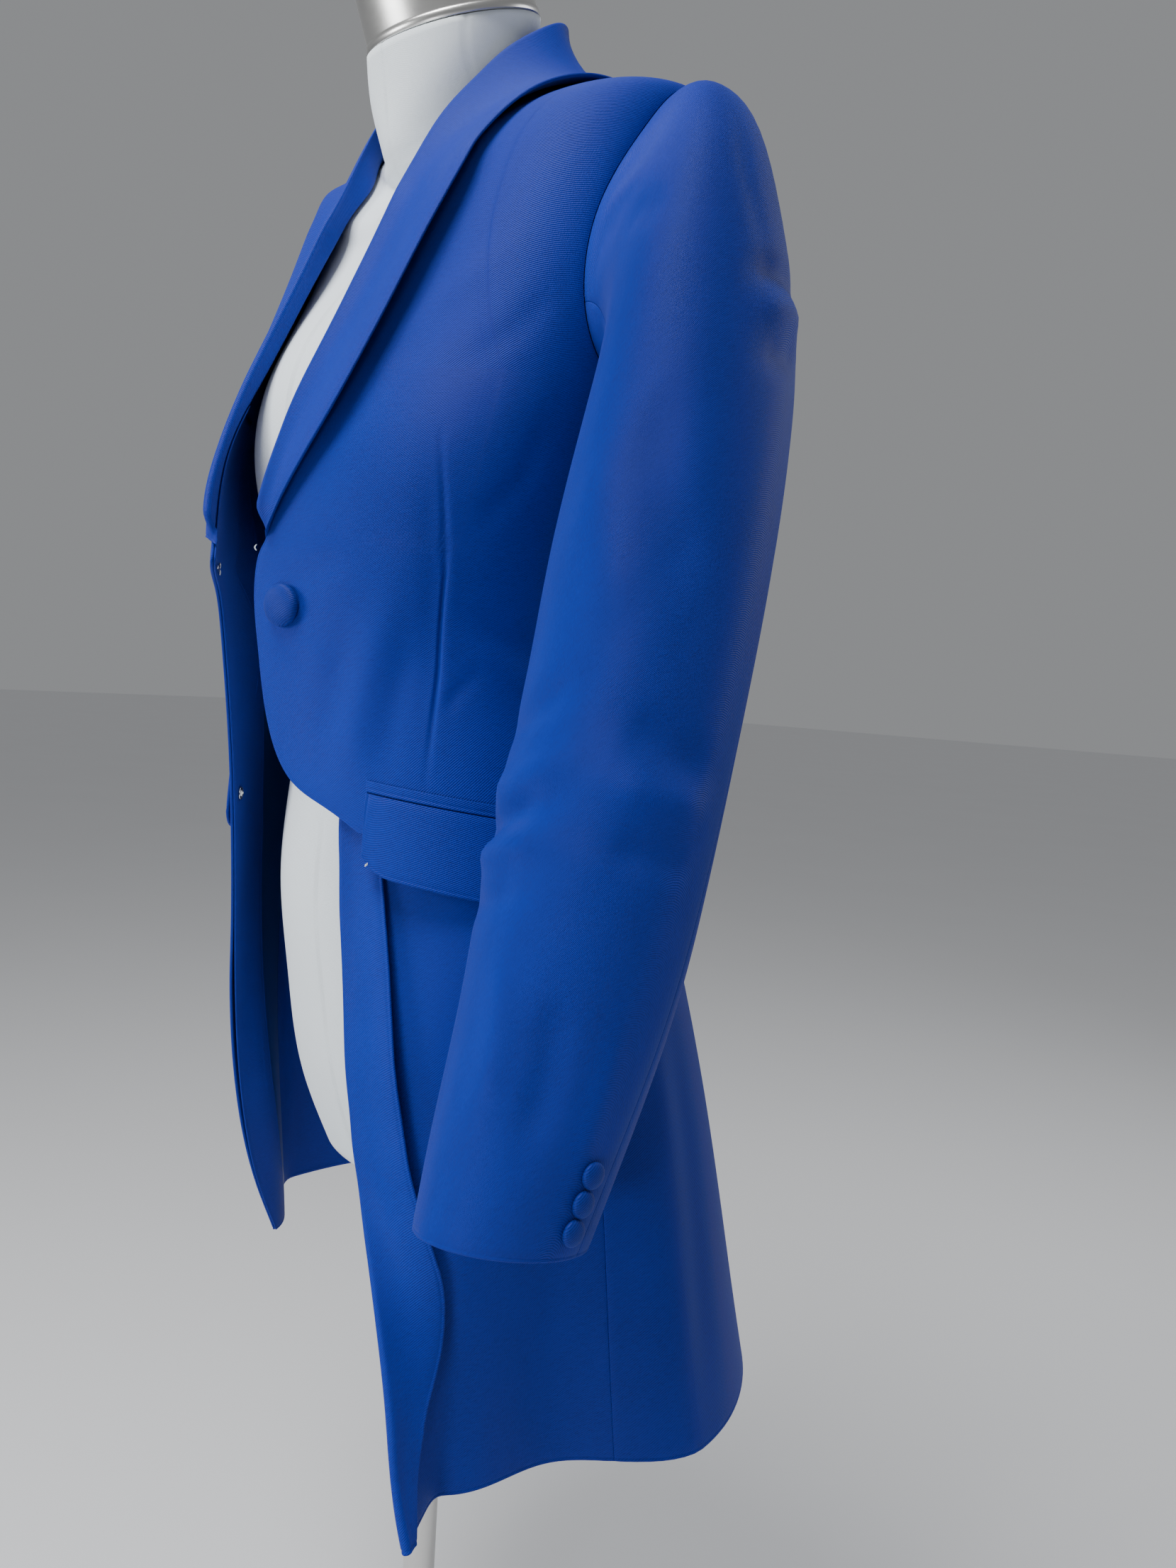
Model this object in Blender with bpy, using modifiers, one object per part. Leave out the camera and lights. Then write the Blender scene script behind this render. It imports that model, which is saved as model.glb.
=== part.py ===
"""A saddle seat coat of fine blue twill on a linen dress form, in metres, +Z up.

The coat faces -Y and the wearer's left is +X. The origin is the middle of the
stand's foot, on the floor. Heights in the tables are above the waist line.
The body of the coat is one surface, read by turn (degrees round from the
centre front) and level (metres up the cloth). The panels are patches of it,
and what lies on a panel is made from the same points, moved out.
"""

from math import cos, pi, radians, sin

import bpy
import numpy as np
from mathutils import Matrix, Vector

NAME = "saddle_seat_coat_on_form"
MM = 0.001
WAIST = 1.02  # height of the coat's waist line above the floor
CLOTH = 2.0 * MM  # wall of the coat: face cloth and its backing
LIGHT = 1.2 * MM  # wall of a facing, lining or flap
SEAM = 0.3 * MM  # gap between neighbouring pieces
LEFT, RIGHT = 1, -1

# Rings of the coat's body from the waist up:
# level, z at front, side and back, half width, y at front, side and back,
# squareness of the front and back halves, hollow between front corner and side
BODY = (
    (0.000, 0.000, 0.000, 0.000, 0.148, -0.162, -0.010, 0.084, 2.3, 2.2, 0.0),
    (0.060, 0.060, 0.060, 0.060, 0.149, -0.164, -0.008, 0.084, 2.3, 2.2, 0.0),
    (0.130, 0.130, 0.132, 0.130, 0.161, -0.155, 0.000, 0.098, 2.3, 2.3, 0.0),
    (0.190, 0.183, 0.198, 0.195, 0.172, -0.132, 0.010, 0.112, 2.1, 2.4, 0.0),
    (0.250, 0.228, 0.268, 0.255, 0.183, -0.108, 0.022, 0.120, 2.0, 2.5, 0.0),
    (0.310, 0.265, 0.326, 0.310, 0.192, -0.088, 0.032, 0.118, 2.0, 2.4, 0.0),
    (0.350, 0.288, 0.357, 0.340, 0.189, -0.075, 0.036, 0.110, 2.0, 2.2, 0.0),
    (0.390, 0.306, 0.366, 0.360, 0.152, -0.064, 0.034, 0.092, 2.0, 2.1, 0.0),
    (0.440, 0.324, 0.380, 0.386, 0.102, -0.050, 0.026, 0.068, 2.0, 2.0, 0.0),
    (0.480, 0.338, 0.392, 0.410, 0.074, -0.040, 0.020, 0.057, 2.0, 2.0, 0.0),
)
# Front squareness of the same rings on the wearer's right, where the front
# hangs flatter and its edge stands away from the body, and y at the front of
# the lowest of them
FLATTER = (1.42, 1.48, 1.70, 1.78, 1.66, 1.58, 1.58, 1.66, 1.82, 2.00)
STANDING_AWAY = (-0.177, -0.176, -0.161)
# Rings below the waist, on the wearer's left and right
SKIRT_LEFT = (
    (-0.560, -0.560, -0.560, -0.560, 0.292, -0.172, 0.024, 0.242, 2.5, 1.85, 0.150),
    (-0.450, -0.450, -0.450, -0.450, 0.265, -0.168, 0.018, 0.218, 2.5, 1.90, 0.130),
    (-0.300, -0.300, -0.300, -0.300, 0.228, -0.164, 0.010, 0.184, 2.7, 2.10, 0.065),
    (-0.180, -0.180, -0.180, -0.180, 0.196, -0.160, 0.000, 0.150, 2.8, 2.30, 0.015),
    (-0.080, -0.080, -0.080, -0.080, 0.167, -0.160, -0.008, 0.112, 2.5, 2.40, 0.000),
)
SKIRT_RIGHT = (
    (-0.560, -0.560, -0.560, -0.560, 0.240, -0.100, 0.036, 0.242, 1.42, 2.60, 0.150),
    (-0.450, -0.450, -0.450, -0.450, 0.224, -0.119, 0.027, 0.218, 1.42, 2.60, 0.130),
    (-0.300, -0.300, -0.300, -0.300, 0.202, -0.148, 0.010, 0.184, 1.42, 2.50, 0.065),
    (-0.180, -0.180, -0.180, -0.180, 0.182, -0.157, 0.000, 0.150, 1.42, 2.40, 0.015),
    (-0.080, -0.080, -0.080, -0.080, 0.160, -0.166, -0.008, 0.112, 1.42, 2.40, 0.000),
)
BODY_RIGHT = np.array(BODY)
BODY_RIGHT[:, 8] = FLATTER
BODY_RIGHT[:3, 5] = STANDING_AWAY
RINGS = {LEFT: np.array(SKIRT_LEFT + BODY), RIGHT: np.vstack([SKIRT_RIGHT, BODY_RIGHT])}

# Rings of the dress form, with the same columns but, in place of the hollow,
# how flat each ring lies: 2 over the shoulders, 1 at the tilted top of the neck
FORM = np.array((
    (-0.375, -0.375, -0.375, -0.375, 0.112, -0.046, 0.030, 0.098, 2.2, 2.2, 2.0),
    (-0.320, -0.320, -0.320, -0.320, 0.130, -0.068, 0.030, 0.112, 2.2, 2.2, 2.0),
    (-0.240, -0.240, -0.240, -0.240, 0.140, -0.085, 0.026, 0.120, 2.1, 2.2, 2.0),
    (-0.160, -0.160, -0.160, -0.160, 0.142, -0.094, 0.020, 0.116, 2.1, 2.2, 2.0),
    (-0.080, -0.080, -0.080, -0.080, 0.132, -0.088, 0.012, 0.092, 2.1, 2.2, 2.0),
    (0.000, 0.000, 0.000, 0.000, 0.120, -0.092, 0.002, 0.070, 2.1, 2.1, 2.0),
    (0.060, 0.060, 0.060, 0.060, 0.130, -0.110, 0.000, 0.073, 2.1, 2.1, 2.0),
    (0.130, 0.130, 0.130, 0.130, 0.146, -0.128, 0.002, 0.085, 2.1, 2.2, 2.0),
    (0.190, 0.184, 0.194, 0.192, 0.156, -0.124, 0.010, 0.098, 1.85, 2.3, 2.0),
    (0.250, 0.228, 0.258, 0.250, 0.162, -0.100, 0.022, 0.106, 1.72, 2.3, 2.0),
    (0.310, 0.260, 0.314, 0.306, 0.162, -0.078, 0.030, 0.104, 1.66, 2.3, 2.0),
    (0.350, 0.282, 0.348, 0.336, 0.164, -0.068, 0.035, 0.098, 1.66, 2.2, 2.0),
    (0.390, 0.3025, 0.3632, 0.3575, 0.147, -0.0605, 0.034, 0.0890, 2.0, 2.1, 2.0),
    (0.440, 0.3205, 0.3772, 0.3835, 0.0985, -0.047, 0.026, 0.0650, 2.0, 2.0, 2.0),
    (0.470, 0.336, 0.388, 0.398, 0.064, -0.058, 0.010, 0.0510, 1.6, 2.0, 1.6),
    (0.500, 0.364, 0.405, 0.420, 0.057, -0.064, -0.006, 0.0480, 2.0, 2.0, 1.2),
    (0.545, 0.4055, 0.4306, 0.4556, 0.0595, -0.0705, -0.012, 0.0475, 2.0, 2.0, 1.0),
))

FORM_LEVELS = (
    -0.375, -0.366, -0.340, -0.300, -0.25, -0.20, -0.15, -0.10, -0.05, 0.0, 0.05, 0.10, 0.15,
    0.19, 0.23, 0.27, 0.305, 0.33, 0.35, 0.367, 0.384, 0.402, 0.42, 0.437, 0.455, 0.47, 0.485,
    0.51, 0.53, 0.545,
)

# Rows and columns of the panels' grids; the armhole's steps are the sleeve's too
SKIRT_ROWS, BODY_ROWS, HOLE_ROWS = 10, 8, 11
PANEL_COLUMNS, NECK_COLUMNS, BAND_ROWS = 11, 7, 18

# Armhole: angle round it from the shoulder tip towards the front, turn, level
ARMHOLE = (
    (0, 90.0, 0.350),
    (45, 79.0, 0.312),
    (90, 73.5, 0.255),
    (135, 77.0, 0.198),
    (180, 92.0, 0.168),
    (225, 112.0, 0.190),
    (270, 124.0, 0.255),
    (315, 112.0, 0.322),
)
HOLE_CENTRE = np.array((97.0, 0.260))
HOLE_GAP = 0.008  # share by which a sleeve starts inside its armhole
ARMPIT_LEVEL = 0.168
POCKET_LEVEL = -0.120  # where the left front's skirt part is joined, under the flap

# Left front edge from under the flap up to the break: distance from the
# centre front, level
LEFT_EDGE = (
    (0.113, -0.106),
    (0.096, -0.096),
    (0.080, -0.089),
    (0.064, -0.081),
    (0.051, -0.069),
    (0.041, -0.053),
    (0.031, -0.023),
    (0.026, 0.005),
    (0.023, 0.034),
    (0.027, 0.058),
)
# Right front edge from the hem up to the break: the unfastened front hangs
# back and shows its inside
RIGHT_EDGE = (
    (0.146, -0.480),
    (0.136, -0.400),
    (0.124, -0.300),
    (0.106, -0.200),
    (0.086, -0.110),
    (0.073, -0.030),
    (0.064, 0.015),
    (0.046, 0.044),
    (0.027, 0.058),
)
# Side seam: level, turn
SIDE_SEAM = (
    (-0.500, 80.0),
    (-0.250, 82.0),
    (-0.100, 85.0),
    (0.000, 88.0),
    (0.168, 92.0),
)
# Hem of the coat: turn, level
HEM = (
    (0.0, -0.476),
    (40.0, -0.478),
    (80.0, -0.480),
    (130.0, -0.480),
    (180.0, -0.480),
)

# Left skirt: level, x and y of its front fold, turn where it bends away from
# the coat's round, width of the band turned back over it from the fold, how
# far the band's free edge stands off
LEFT_SKIRT = (
    (-0.4800, 0.227, -0.1660, 54.0, 0.0090, 0.0045),
    (-0.4500, 0.212, -0.1650, 55.0, 0.0180, 0.0055),
    (-0.4200, 0.202, -0.1630, 56.0, 0.0270, 0.0070),
    (-0.3950, 0.192, -0.1610, 56.0, 0.0350, 0.0090),
    (-0.3600, 0.174, -0.1570, 54.0, 0.0405, 0.0110),
    (-0.3260, 0.152, -0.1500, 50.0, 0.0400, 0.0120),
    (-0.2590, 0.128, -0.1470, 45.0, 0.0390, 0.0125),
    (-0.1970, 0.113, -0.1440, 42.5, 0.0360, 0.0100),
    (-0.1270, 0.098, -0.1405, 40.0, 0.0300, 0.0055),
    (-0.0920, 0.092, -0.1380, 39.5, 0.0260, 0.0045),
)
FOLD_MARGIN = 8.0 * MM  # from a fold's crest to the border of the panel behind it
# Columns of the left skirt's grid, closer together at the fold
SKIRT_COLUMNS = (0, 0.03, 0.065, 0.105, 0.155, 0.22, 0.30, 0.39, 0.49, 0.59, 0.69, 0.79, 0.89, 1.0)

# Collar from the break to the centre back: turn and level of the neck seam
# under it; x, y and z of the crest of its roll; turn, level and stand-off of
# its outer edge
COLLAR = (
    (12.5, 0.068, 0.0270, -0.1680, 0.0660, 14.0, 0.071, 0.0045),
    (14.5, 0.090, 0.0345, -0.1680, 0.0900, 19.0, 0.092, 0.0065),
    (16.0, 0.130, 0.0385, -0.1580, 0.1300, 26.5, 0.127, 0.0100),
    (17.6, 0.168, 0.0400, -0.1440, 0.1660, 32.0, 0.165, 0.0130),
    (19.4, 0.215, 0.0415, -0.1250, 0.2060, 36.5, 0.212, 0.0140),
    (20.9, 0.265, 0.0410, -0.1040, 0.2500, 41.0, 0.262, 0.0135),
    (21.9, 0.315, 0.0405, -0.0860, 0.2900, 46.0, 0.315, 0.0110),
    (23.9, 0.360, 0.0410, -0.0680, 0.3250, 53.0, 0.352, 0.0070),
    (27.2, 0.400, 0.0450, -0.0540, 0.3520, 62.0, 0.374, 0.0070),
    (34.0, 0.427, 0.0560, -0.0360, 0.3790, 72.0, 0.388, 0.0062),
    (52.0, 0.446, 0.0670, -0.0160, 0.4040, 82.0, 0.397, 0.0040),
    (90.0, 0.466, 0.0725, 0.0110, 0.4255, 97.0, 0.416, 0.0040),
    (120.0, 0.468, 0.0655, 0.0300, 0.4365, 112.0, 0.430, 0.0040),
    (148.0, 0.466, 0.0430, 0.0500, 0.4440, 138.0, 0.444, 0.0040),
    (180.0, 0.464, 0.0000, 0.0640, 0.4470, 180.0, 0.450, 0.0040),
)
RIGHT_STAND_OFF = 0.2  # the right lapel lies flatter, by this share
BREAK_LEVELS = (0.100, 0.190)  # up to these the crest follows the front it lies on
SHOULDER_ROW = 11  # the row of COLLAR at the shoulder seam
LEAST_STAND_OFF = 4.8 * MM
FOLD = 3.0 * MM  # outer radius of a folded edge
BOW = 0.36  # roundness of a turned-back part, as a share of its width
COLLAR_WALL = 2.0 * MM

# Sleeve sections: x and z of the outer side, x and z of the inner side,
# y of the middle, half width from front to back, how far the section is
# swung to the front in degrees, rise of the front
SLEEVE_LEFT = (
    (0.192, 0.357, 0.172, 0.170, 0.035, 0.062, 0.0, 0.00),
    (0.206, 0.357, 0.178, 0.168, 0.034, 0.063, 0.0, 0.00),
    (0.222, 0.345, 0.182, 0.162, 0.033, 0.065, 2.0, 0.00),
    (0.235, 0.318, 0.182, 0.150, 0.031, 0.067, 5.0, 0.00),
    (0.245, 0.270, 0.179, 0.128, 0.027, 0.070, 9.0, 0.00),
    (0.253, 0.200, 0.174, 0.100, 0.020, 0.073, 13.0, 0.00),
    (0.259, 0.110, 0.170, 0.050, 0.006, 0.074, 17.0, 0.00),
    (0.264, 0.010, 0.173, -0.015, -0.014, 0.071, 20.0, 0.03),
    (0.270, -0.090, 0.182, -0.100, -0.043, 0.069, 21.0, 0.08),
    (0.275, -0.190, 0.197, -0.195, -0.076, 0.063, 21.0, 0.13),
    (0.275, -0.260, 0.204, -0.263, -0.103, 0.056, 20.0, 0.17),
    (0.274, -0.309, 0.208, -0.311, -0.121, 0.050, 19.0, 0.19),
)
SLEEVE_RIGHT = SLEEVE_LEFT[:6] + (
    (0.259, 0.110, 0.170, 0.050, 0.025, 0.073, 13.0, 0.00),
    (0.262, 0.010, 0.173, -0.015, 0.032, 0.069, 11.0, 0.00),
    (0.264, -0.090, 0.180, -0.100, 0.038, 0.063, 9.0, 0.02),
    (0.270, -0.190, 0.194, -0.195, 0.041, 0.057, 8.0, 0.03),
    (0.275, -0.260, 0.206, -0.263, 0.042, 0.053, 7.0, 0.04),
    (0.279, -0.309, 0.215, -0.311, 0.042, 0.050, 6.0, 0.05),
)
SLEEVES = {LEFT: SLEEVE_LEFT, RIGHT: SLEEVE_RIGHT}
SLEEVE_ROWS = (0, 0.03, 0.07, 0.12, 0.18, 0.26, 0.35, 0.44, 0.53, 0.62, 0.71, 0.80, 0.90, 1.0)
FRONT_SEAM = 126  # angle round the sleeve of its front seam, from the outer side
BACK_SEAM = (270, 318)  # angle of its back seam, at the armhole and the cuff

# Pocket flap and welt on either front: turns of the front and back ends,
# levels of the top and bottom at each, radius of the lower corner in degrees
FLAP = (42.0, 78.0, -0.0820, -0.0990, -0.1280, -0.1520, 6.0)
WELT = (42.0, 78.0, -0.0745, -0.0905, -0.0812, -0.0982)
# Columns of the flap's grid, closer together at the rounded corner
FLAP_COLUMNS = (0, 0.02, 0.05, 0.09, 0.15, 0.24, 0.35, 0.48, 0.61, 0.74, 0.87, 1.0)

FACING_WIDTH = 74.0 * MM  # facing inside the right front's edge
FACING_SHARE = 0.6  # the facing takes at most this share of the front's width
LINING_REACH = 0.97  # share of the right front that the facing and lining cover
LINING_ROWS = 12  # rows of the right front's grid that the lining covers
FRONT_BUTTON = (0.051, 0.027, 0.0130, 0.0075)  # x, level, radius, height
CUFF_BUTTON = (0.0075, 0.0045)  # radius, height
BUTTON_TURN = 16  # degrees from the back seam to the buttons
CUFF_PLACES = (0.0470, 0.0315, 0.0160)  # distances from the hem
HOOK_LEVEL = 0.052
SNAP = (-0.105, 0.012, 0.0050, 0.0020)  # level, distance from the edge, radius, height

# Stand: radius and height of the foot, radius of the pole, cap on the neck
REST_GAP = 2.4 * MM  # between the form's shoulders and the coat
SET_BACK = 0.024  # the pole stands this far behind the middle of the coat's tables
FOOT_RADIUS, FOOT_HEIGHT = 0.190, 0.028
POLE_RADIUS = 0.0125
CAP_RADIUS, CAP_HEIGHT = 0.0605, 0.066
CAP_CENTRE = (0.0, -0.0115, 0.4306)
CAP_TILT = 22.5  # degrees by which the cap leans to the front


def spline(at, xs, ys):
    """Natural cubic curve through the points (xs, ys), read at any place."""
    xs, ys = np.asarray(xs, float), np.asarray(ys, float)
    count, gap = len(xs), np.diff(xs)
    slope = np.diff(ys) / gap
    matrix, right = np.eye(count), np.zeros(count)
    for i in range(1, count - 1):
        matrix[i, i - 1:i + 2] = gap[i - 1], 2 * (gap[i - 1] + gap[i]), gap[i]
        right[i] = 6 * (slope[i] - slope[i - 1])
    bend = np.linalg.solve(matrix, right)
    at = np.asarray(at, float)
    k = np.clip(np.searchsorted(xs, at) - 1, 0, count - 2)
    b = (at - xs[k]) / gap[k]
    a = 1 - b
    cubic = (a ** 3 - a) * bend[k] + (b ** 3 - b) * bend[k + 1]
    return a * ys[k] + b * ys[k + 1] + cubic * gap[k] ** 2 / 6


def along(table, at):
    """Rows on a smooth curve through a table's rows, at 0 to 1 of its length."""
    rows = np.asarray(table, float)
    size = np.ptp(rows, axis=0) + 1e-9
    steps = np.linalg.norm(np.diff(rows / size, axis=0), axis=1)
    length = np.r_[0, np.cumsum(steps)] / steps.sum()
    return np.stack([spline(at, length, column) for column in rows.T], -1)


def ease(at, low, high):
    """0 below low, 1 above high, and a smooth rise between."""
    t = np.clip((np.asarray(at, float) - low) / (high - low), 0, 1)
    return t * t * (3 - 2 * t)


def unit(vectors):
    return vectors / np.linalg.norm(vectors, axis=-1, keepdims=True)


def ring_point(rings, turn, level, hand=LEFT, tilted=False):
    """Points on a surface given by rings; tilted ones end with a flatness."""
    turn, level = np.broadcast_arrays(np.asarray(turn, float), np.asarray(level, float))
    values = [spline(level, rings[:, 0], rings[:, i]) for i in range(1, rings.shape[1])]
    z_front, z_side, z_back, half, y_front, y_side, y_back, sq_front, sq_back = values[:9]
    angle = np.radians(turn)
    s, c = np.abs(np.sin(angle)), np.abs(np.cos(angle))
    front = np.cos(angle) > 0
    depth = np.where(front, y_side - y_front, y_back - y_side)
    square = np.where(front, sq_front, sq_back)
    reach = ((s / half) ** square + (c / depth) ** square) ** (-1 / square)
    last = values[9]
    flatness = last if tilted else 2.0
    drawn = np.sin(pi * np.clip((turn - 52) / 40, 0, 1)) ** 2
    reach = reach * (1 - (0.0 if tilted else last) * drawn)
    z = z_side + (np.where(front, z_front, z_back) - z_side) * c ** flatness
    return np.stack([
        hand * reach * np.sin(angle),
        y_side - reach * np.cos(angle),
        WAIST + z,
    ], -1)


def coat_point(turn, level, hand=LEFT):
    """Points of the coat's outer face."""
    return ring_point(RINGS[hand], turn, level, hand)


def normal_of(face, turn, level, hand=LEFT):
    """Outward unit normals of a face that is read by turn and level."""
    across = face(turn + 0.05, level, hand) - face(turn - 0.05, level, hand)
    up = face(turn, level + 0.0005, hand) - face(turn, level - 0.0005, hand)
    return hand * unit(np.cross(across, up))


def moved_out(face, turn, level, out, hand=LEFT):
    """Points of a face moved out along its normals."""
    turn, level, out = np.broadcast_arrays(turn, level, out)
    return face(turn, level, hand) + out[..., None] * normal_of(face, turn, level, hand)


def turn_at(x, level, hand=LEFT):
    """Turn on the front half where the coat is x from the centre plane."""
    x, level = np.broadcast_arrays(np.asarray(x, float), np.asarray(level, float))
    low, high = np.zeros(x.shape), np.full(x.shape, 89.0)
    for _ in range(40):
        middle = (low + high) / 2
        inside = np.abs(coat_point(middle, level, hand)[..., 0]) < x
        low, high = np.where(inside, middle, low), np.where(inside, high, middle)
    return (low + high) / 2


def armhole(angle):
    """Turn and level on the armhole, by the angle round it."""
    rows = np.array(ARMHOLE)
    rows = np.vstack([rows[-3:] - (360, 0, 0), rows, rows[:3] + (360, 0, 0)])
    return np.stack([spline(angle, rows[:, 0], rows[:, i]) for i in (1, 2)], -1)


def side_seam(level):
    rows = np.array(SIDE_SEAM)
    return np.stack([spline(level, rows[:, 0], rows[:, 1]), level], -1)


def hem_level(turn):
    rows = np.array(HEM)
    return spline(turn, rows[:, 0], rows[:, 1])


def straight(start, end, count):
    return np.linspace(start, end, count)


def resample(points, count):
    """Even places along a row of turns and levels, a degree counted as 3 mm."""
    steps = np.linalg.norm(np.diff(points * (0.003, 1.0), axis=0), axis=1)
    length = np.r_[0, np.cumsum(steps)]
    at = np.linspace(0, length[-1], count)
    return np.stack([np.interp(at, length, points[:, i]) for i in (0, 1)], -1)


def patch(bottom, top, left, right):
    """Turns and levels inside four border curves that meet at their ends."""
    u = np.linspace(0, 1, len(bottom))[None, :, None]
    v = np.linspace(0, 1, len(left))[:, None, None]
    across = left[:, None] * (1 - u) + right[:, None] * u
    upward = bottom[None] * (1 - v) + top[None] * v
    corners = ((1 - v) * ((1 - u) * bottom[0] + u * bottom[-1])
               + v * ((1 - u) * top[0] + u * top[-1]))
    return across + upward - corners


def front_border(edge, hand):
    """Turns and levels up a front's edge and on along the neck seam."""
    edge = np.array(edge)
    turns = turn_at(edge[:, 0], edge[:, 1], hand)
    neck = np.array(COLLAR)[:SHOULDER_ROW + 1, :2]
    return along(np.vstack([np.stack([turns, edge[:, 1]], -1), neck]), np.linspace(0, 1, 400))


def side_rows(whole=True):
    """Places on the side seam that all the panels share, from the hem or from
    the pocket's level up to the armpit."""
    levels = np.linspace(POCKET_LEVEL, ARMPIT_LEVEL, BODY_ROWS)
    if whole:
        levels = np.r_[np.linspace(hem_level(80.0), POCKET_LEVEL, SKIRT_ROWS)[:-1], levels]
    seam = side_seam(levels)
    seam[-1] = armhole(180.0)
    return seam


def front_patch(edge, seam_low, hand):
    """Turns and levels of a front: below the armpit, then up to the shoulder."""
    border = front_border(edge, hand)
    cut = np.searchsorted(border[:, 1], ARMPIT_LEVEL)
    low = resample(border[:cut + 1], len(seam_low))
    high = resample(border[cut:], HOLE_ROWS)
    seam_high = armhole(np.linspace(180, 0, HOLE_ROWS))
    middle = straight(low[-1], seam_low[-1], PANEL_COLUMNS)
    bottom = straight(low[0], seam_low[0], PANEL_COLUMNS)
    top = straight(high[-1], seam_high[-1], PANEL_COLUMNS)
    lower = patch(bottom, middle, low, seam_low)
    upper = patch(middle, top, high, seam_high)
    return np.vstack([lower, upper[1:]])


def back_patch():
    """Turns and levels of a back: below the armpit, then up to the neck."""
    neck = resample(along(np.array(COLLAR)[SHOULDER_ROW:, :2], np.linspace(0, 1, 60)), NECK_COLUMNS)
    seam = straight(armhole(360.0), neck[0], PANEL_COLUMNS)
    top = np.vstack([seam[:-1], neck])
    cols = len(top)
    side = side_rows()
    middle = straight(side[-1], (180.0, ARMPIT_LEVEL), cols)
    centre_low = straight((180.0, hem_level(180.0)), middle[-1], len(side))
    centre_high = straight(middle[-1], top[-1], HOLE_ROWS)
    hole = armhole(np.linspace(180, 360, HOLE_ROWS))
    lower = patch(straight(side[0], centre_low[0], cols), middle, side, centre_low)
    upper = patch(middle, top, hole, centre_high)
    return np.vstack([lower, upper[1:]])


def left_skirt_rows(rows, count=80):
    """Rows of points of the left skirt, from its front fold to the side seam."""
    table = np.array(LEFT_SKIRT)
    made = []
    for v in np.linspace(0, 1, rows):
        fold_level = table[0, 0] + v * (table[-1, 0] - table[0, 0])
        x, y, bend = (spline(fold_level, table[:, 0], table[:, i]) for i in (1, 2, 3))
        side_level = hem_level(80.0) + v * (POCKET_LEVEL - SEAM - hem_level(80.0))
        turns = np.linspace(bend, side_seam(side_level)[0], count)
        top = POCKET_LEVEL + (table[-1, 0] - POCKET_LEVEL) * (1 - ease(turns, 50, 62))
        levels = hem_level(turns) + v * (top - SEAM - hem_level(turns))
        tuck = 9 * MM * (1 - ease(turns, 52, 72)) * (1 - ease(-levels, 0.135, 0.250))
        face = moved_out(coat_point, turns, levels, -tuck)
        lip = straight((x, y, WAIST + fold_level), face[0], 16)
        made.append(softened(np.vstack([lip[:-1], face])))
    return np.array(made)


def softened(row, times=12):
    """A row of points with its corners rounded and its ends kept."""
    for _ in range(times):
        row = np.vstack([row[:1], (row[:-2] + 2 * row[1:-1] + row[2:]) / 4, row[-1:]])
    return row


def by_length(row, distances):
    """Points at distances along a row of points."""
    length = np.r_[0, np.cumsum(np.linalg.norm(np.diff(row, axis=0), axis=1))]
    return np.stack([np.interp(distances, length, row[:, i]) for i in range(3)], -1)


def row_length(row):
    return np.linalg.norm(np.diff(row, axis=0), axis=1).sum()


def grid_normals(grid, hand=LEFT):
    """Outward unit normals of a grid of points."""
    across = np.gradient(grid, axis=1)
    up = np.gradient(grid, axis=0)
    return hand * unit(np.cross(across, up))


def turned_over(foot, foot_out, crest, edge, edge_out, splits=(2, 6, 6)):
    """Outer and inner points of a cloth that rises from a hidden foot, turns
    over at a crest and comes back to an edge; splits are the steps of the
    foot's side, of the round and of the turned-back side."""
    inward = unit(unit(foot - crest) + unit(edge - crest))
    across = unit(edge - foot)
    across = unit(across - (across * inward).sum(-1, keepdims=True) * inward)
    middle = crest + FOLD * inward
    outer, normals = [], []
    for u in np.arange(splits[0]) / splits[0]:
        outer.append(foot * (1 - u) + (middle - FOLD * across) * u)
        normals.append(unit(-0.3 * foot_out * (1 - u) - across))
    for u in np.arange(splits[1]) / splits[1]:
        angle = pi * (u - 0.5)
        ray = -inward * cos(angle) + across * sin(angle)
        outer.append(middle + FOLD * ray)
        normals.append(ray)
    start = middle + FOLD * across
    width = np.linalg.norm(edge - start, axis=-1, keepdims=True)
    landing = edge - start
    landing = unit(landing - (landing * edge_out).sum(-1, keepdims=True) * edge_out)
    reach = BOW * width
    for u in np.linspace(0, 1, splits[2] + 1):
        a, b, c, d = (1 - u) ** 3, 3 * u * (1 - u) ** 2, 3 * u * u * (1 - u), u ** 3
        outer.append(a * start + b * (start + inward * reach) + c * (edge - landing * reach) + d * edge)
        normals.append(unit(across * (1 - u) + edge_out * u))
    outer, normals = np.stack(outer, 1), np.stack(normals, 1)
    return outer, outer - COLLAR_WALL * normals


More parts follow.
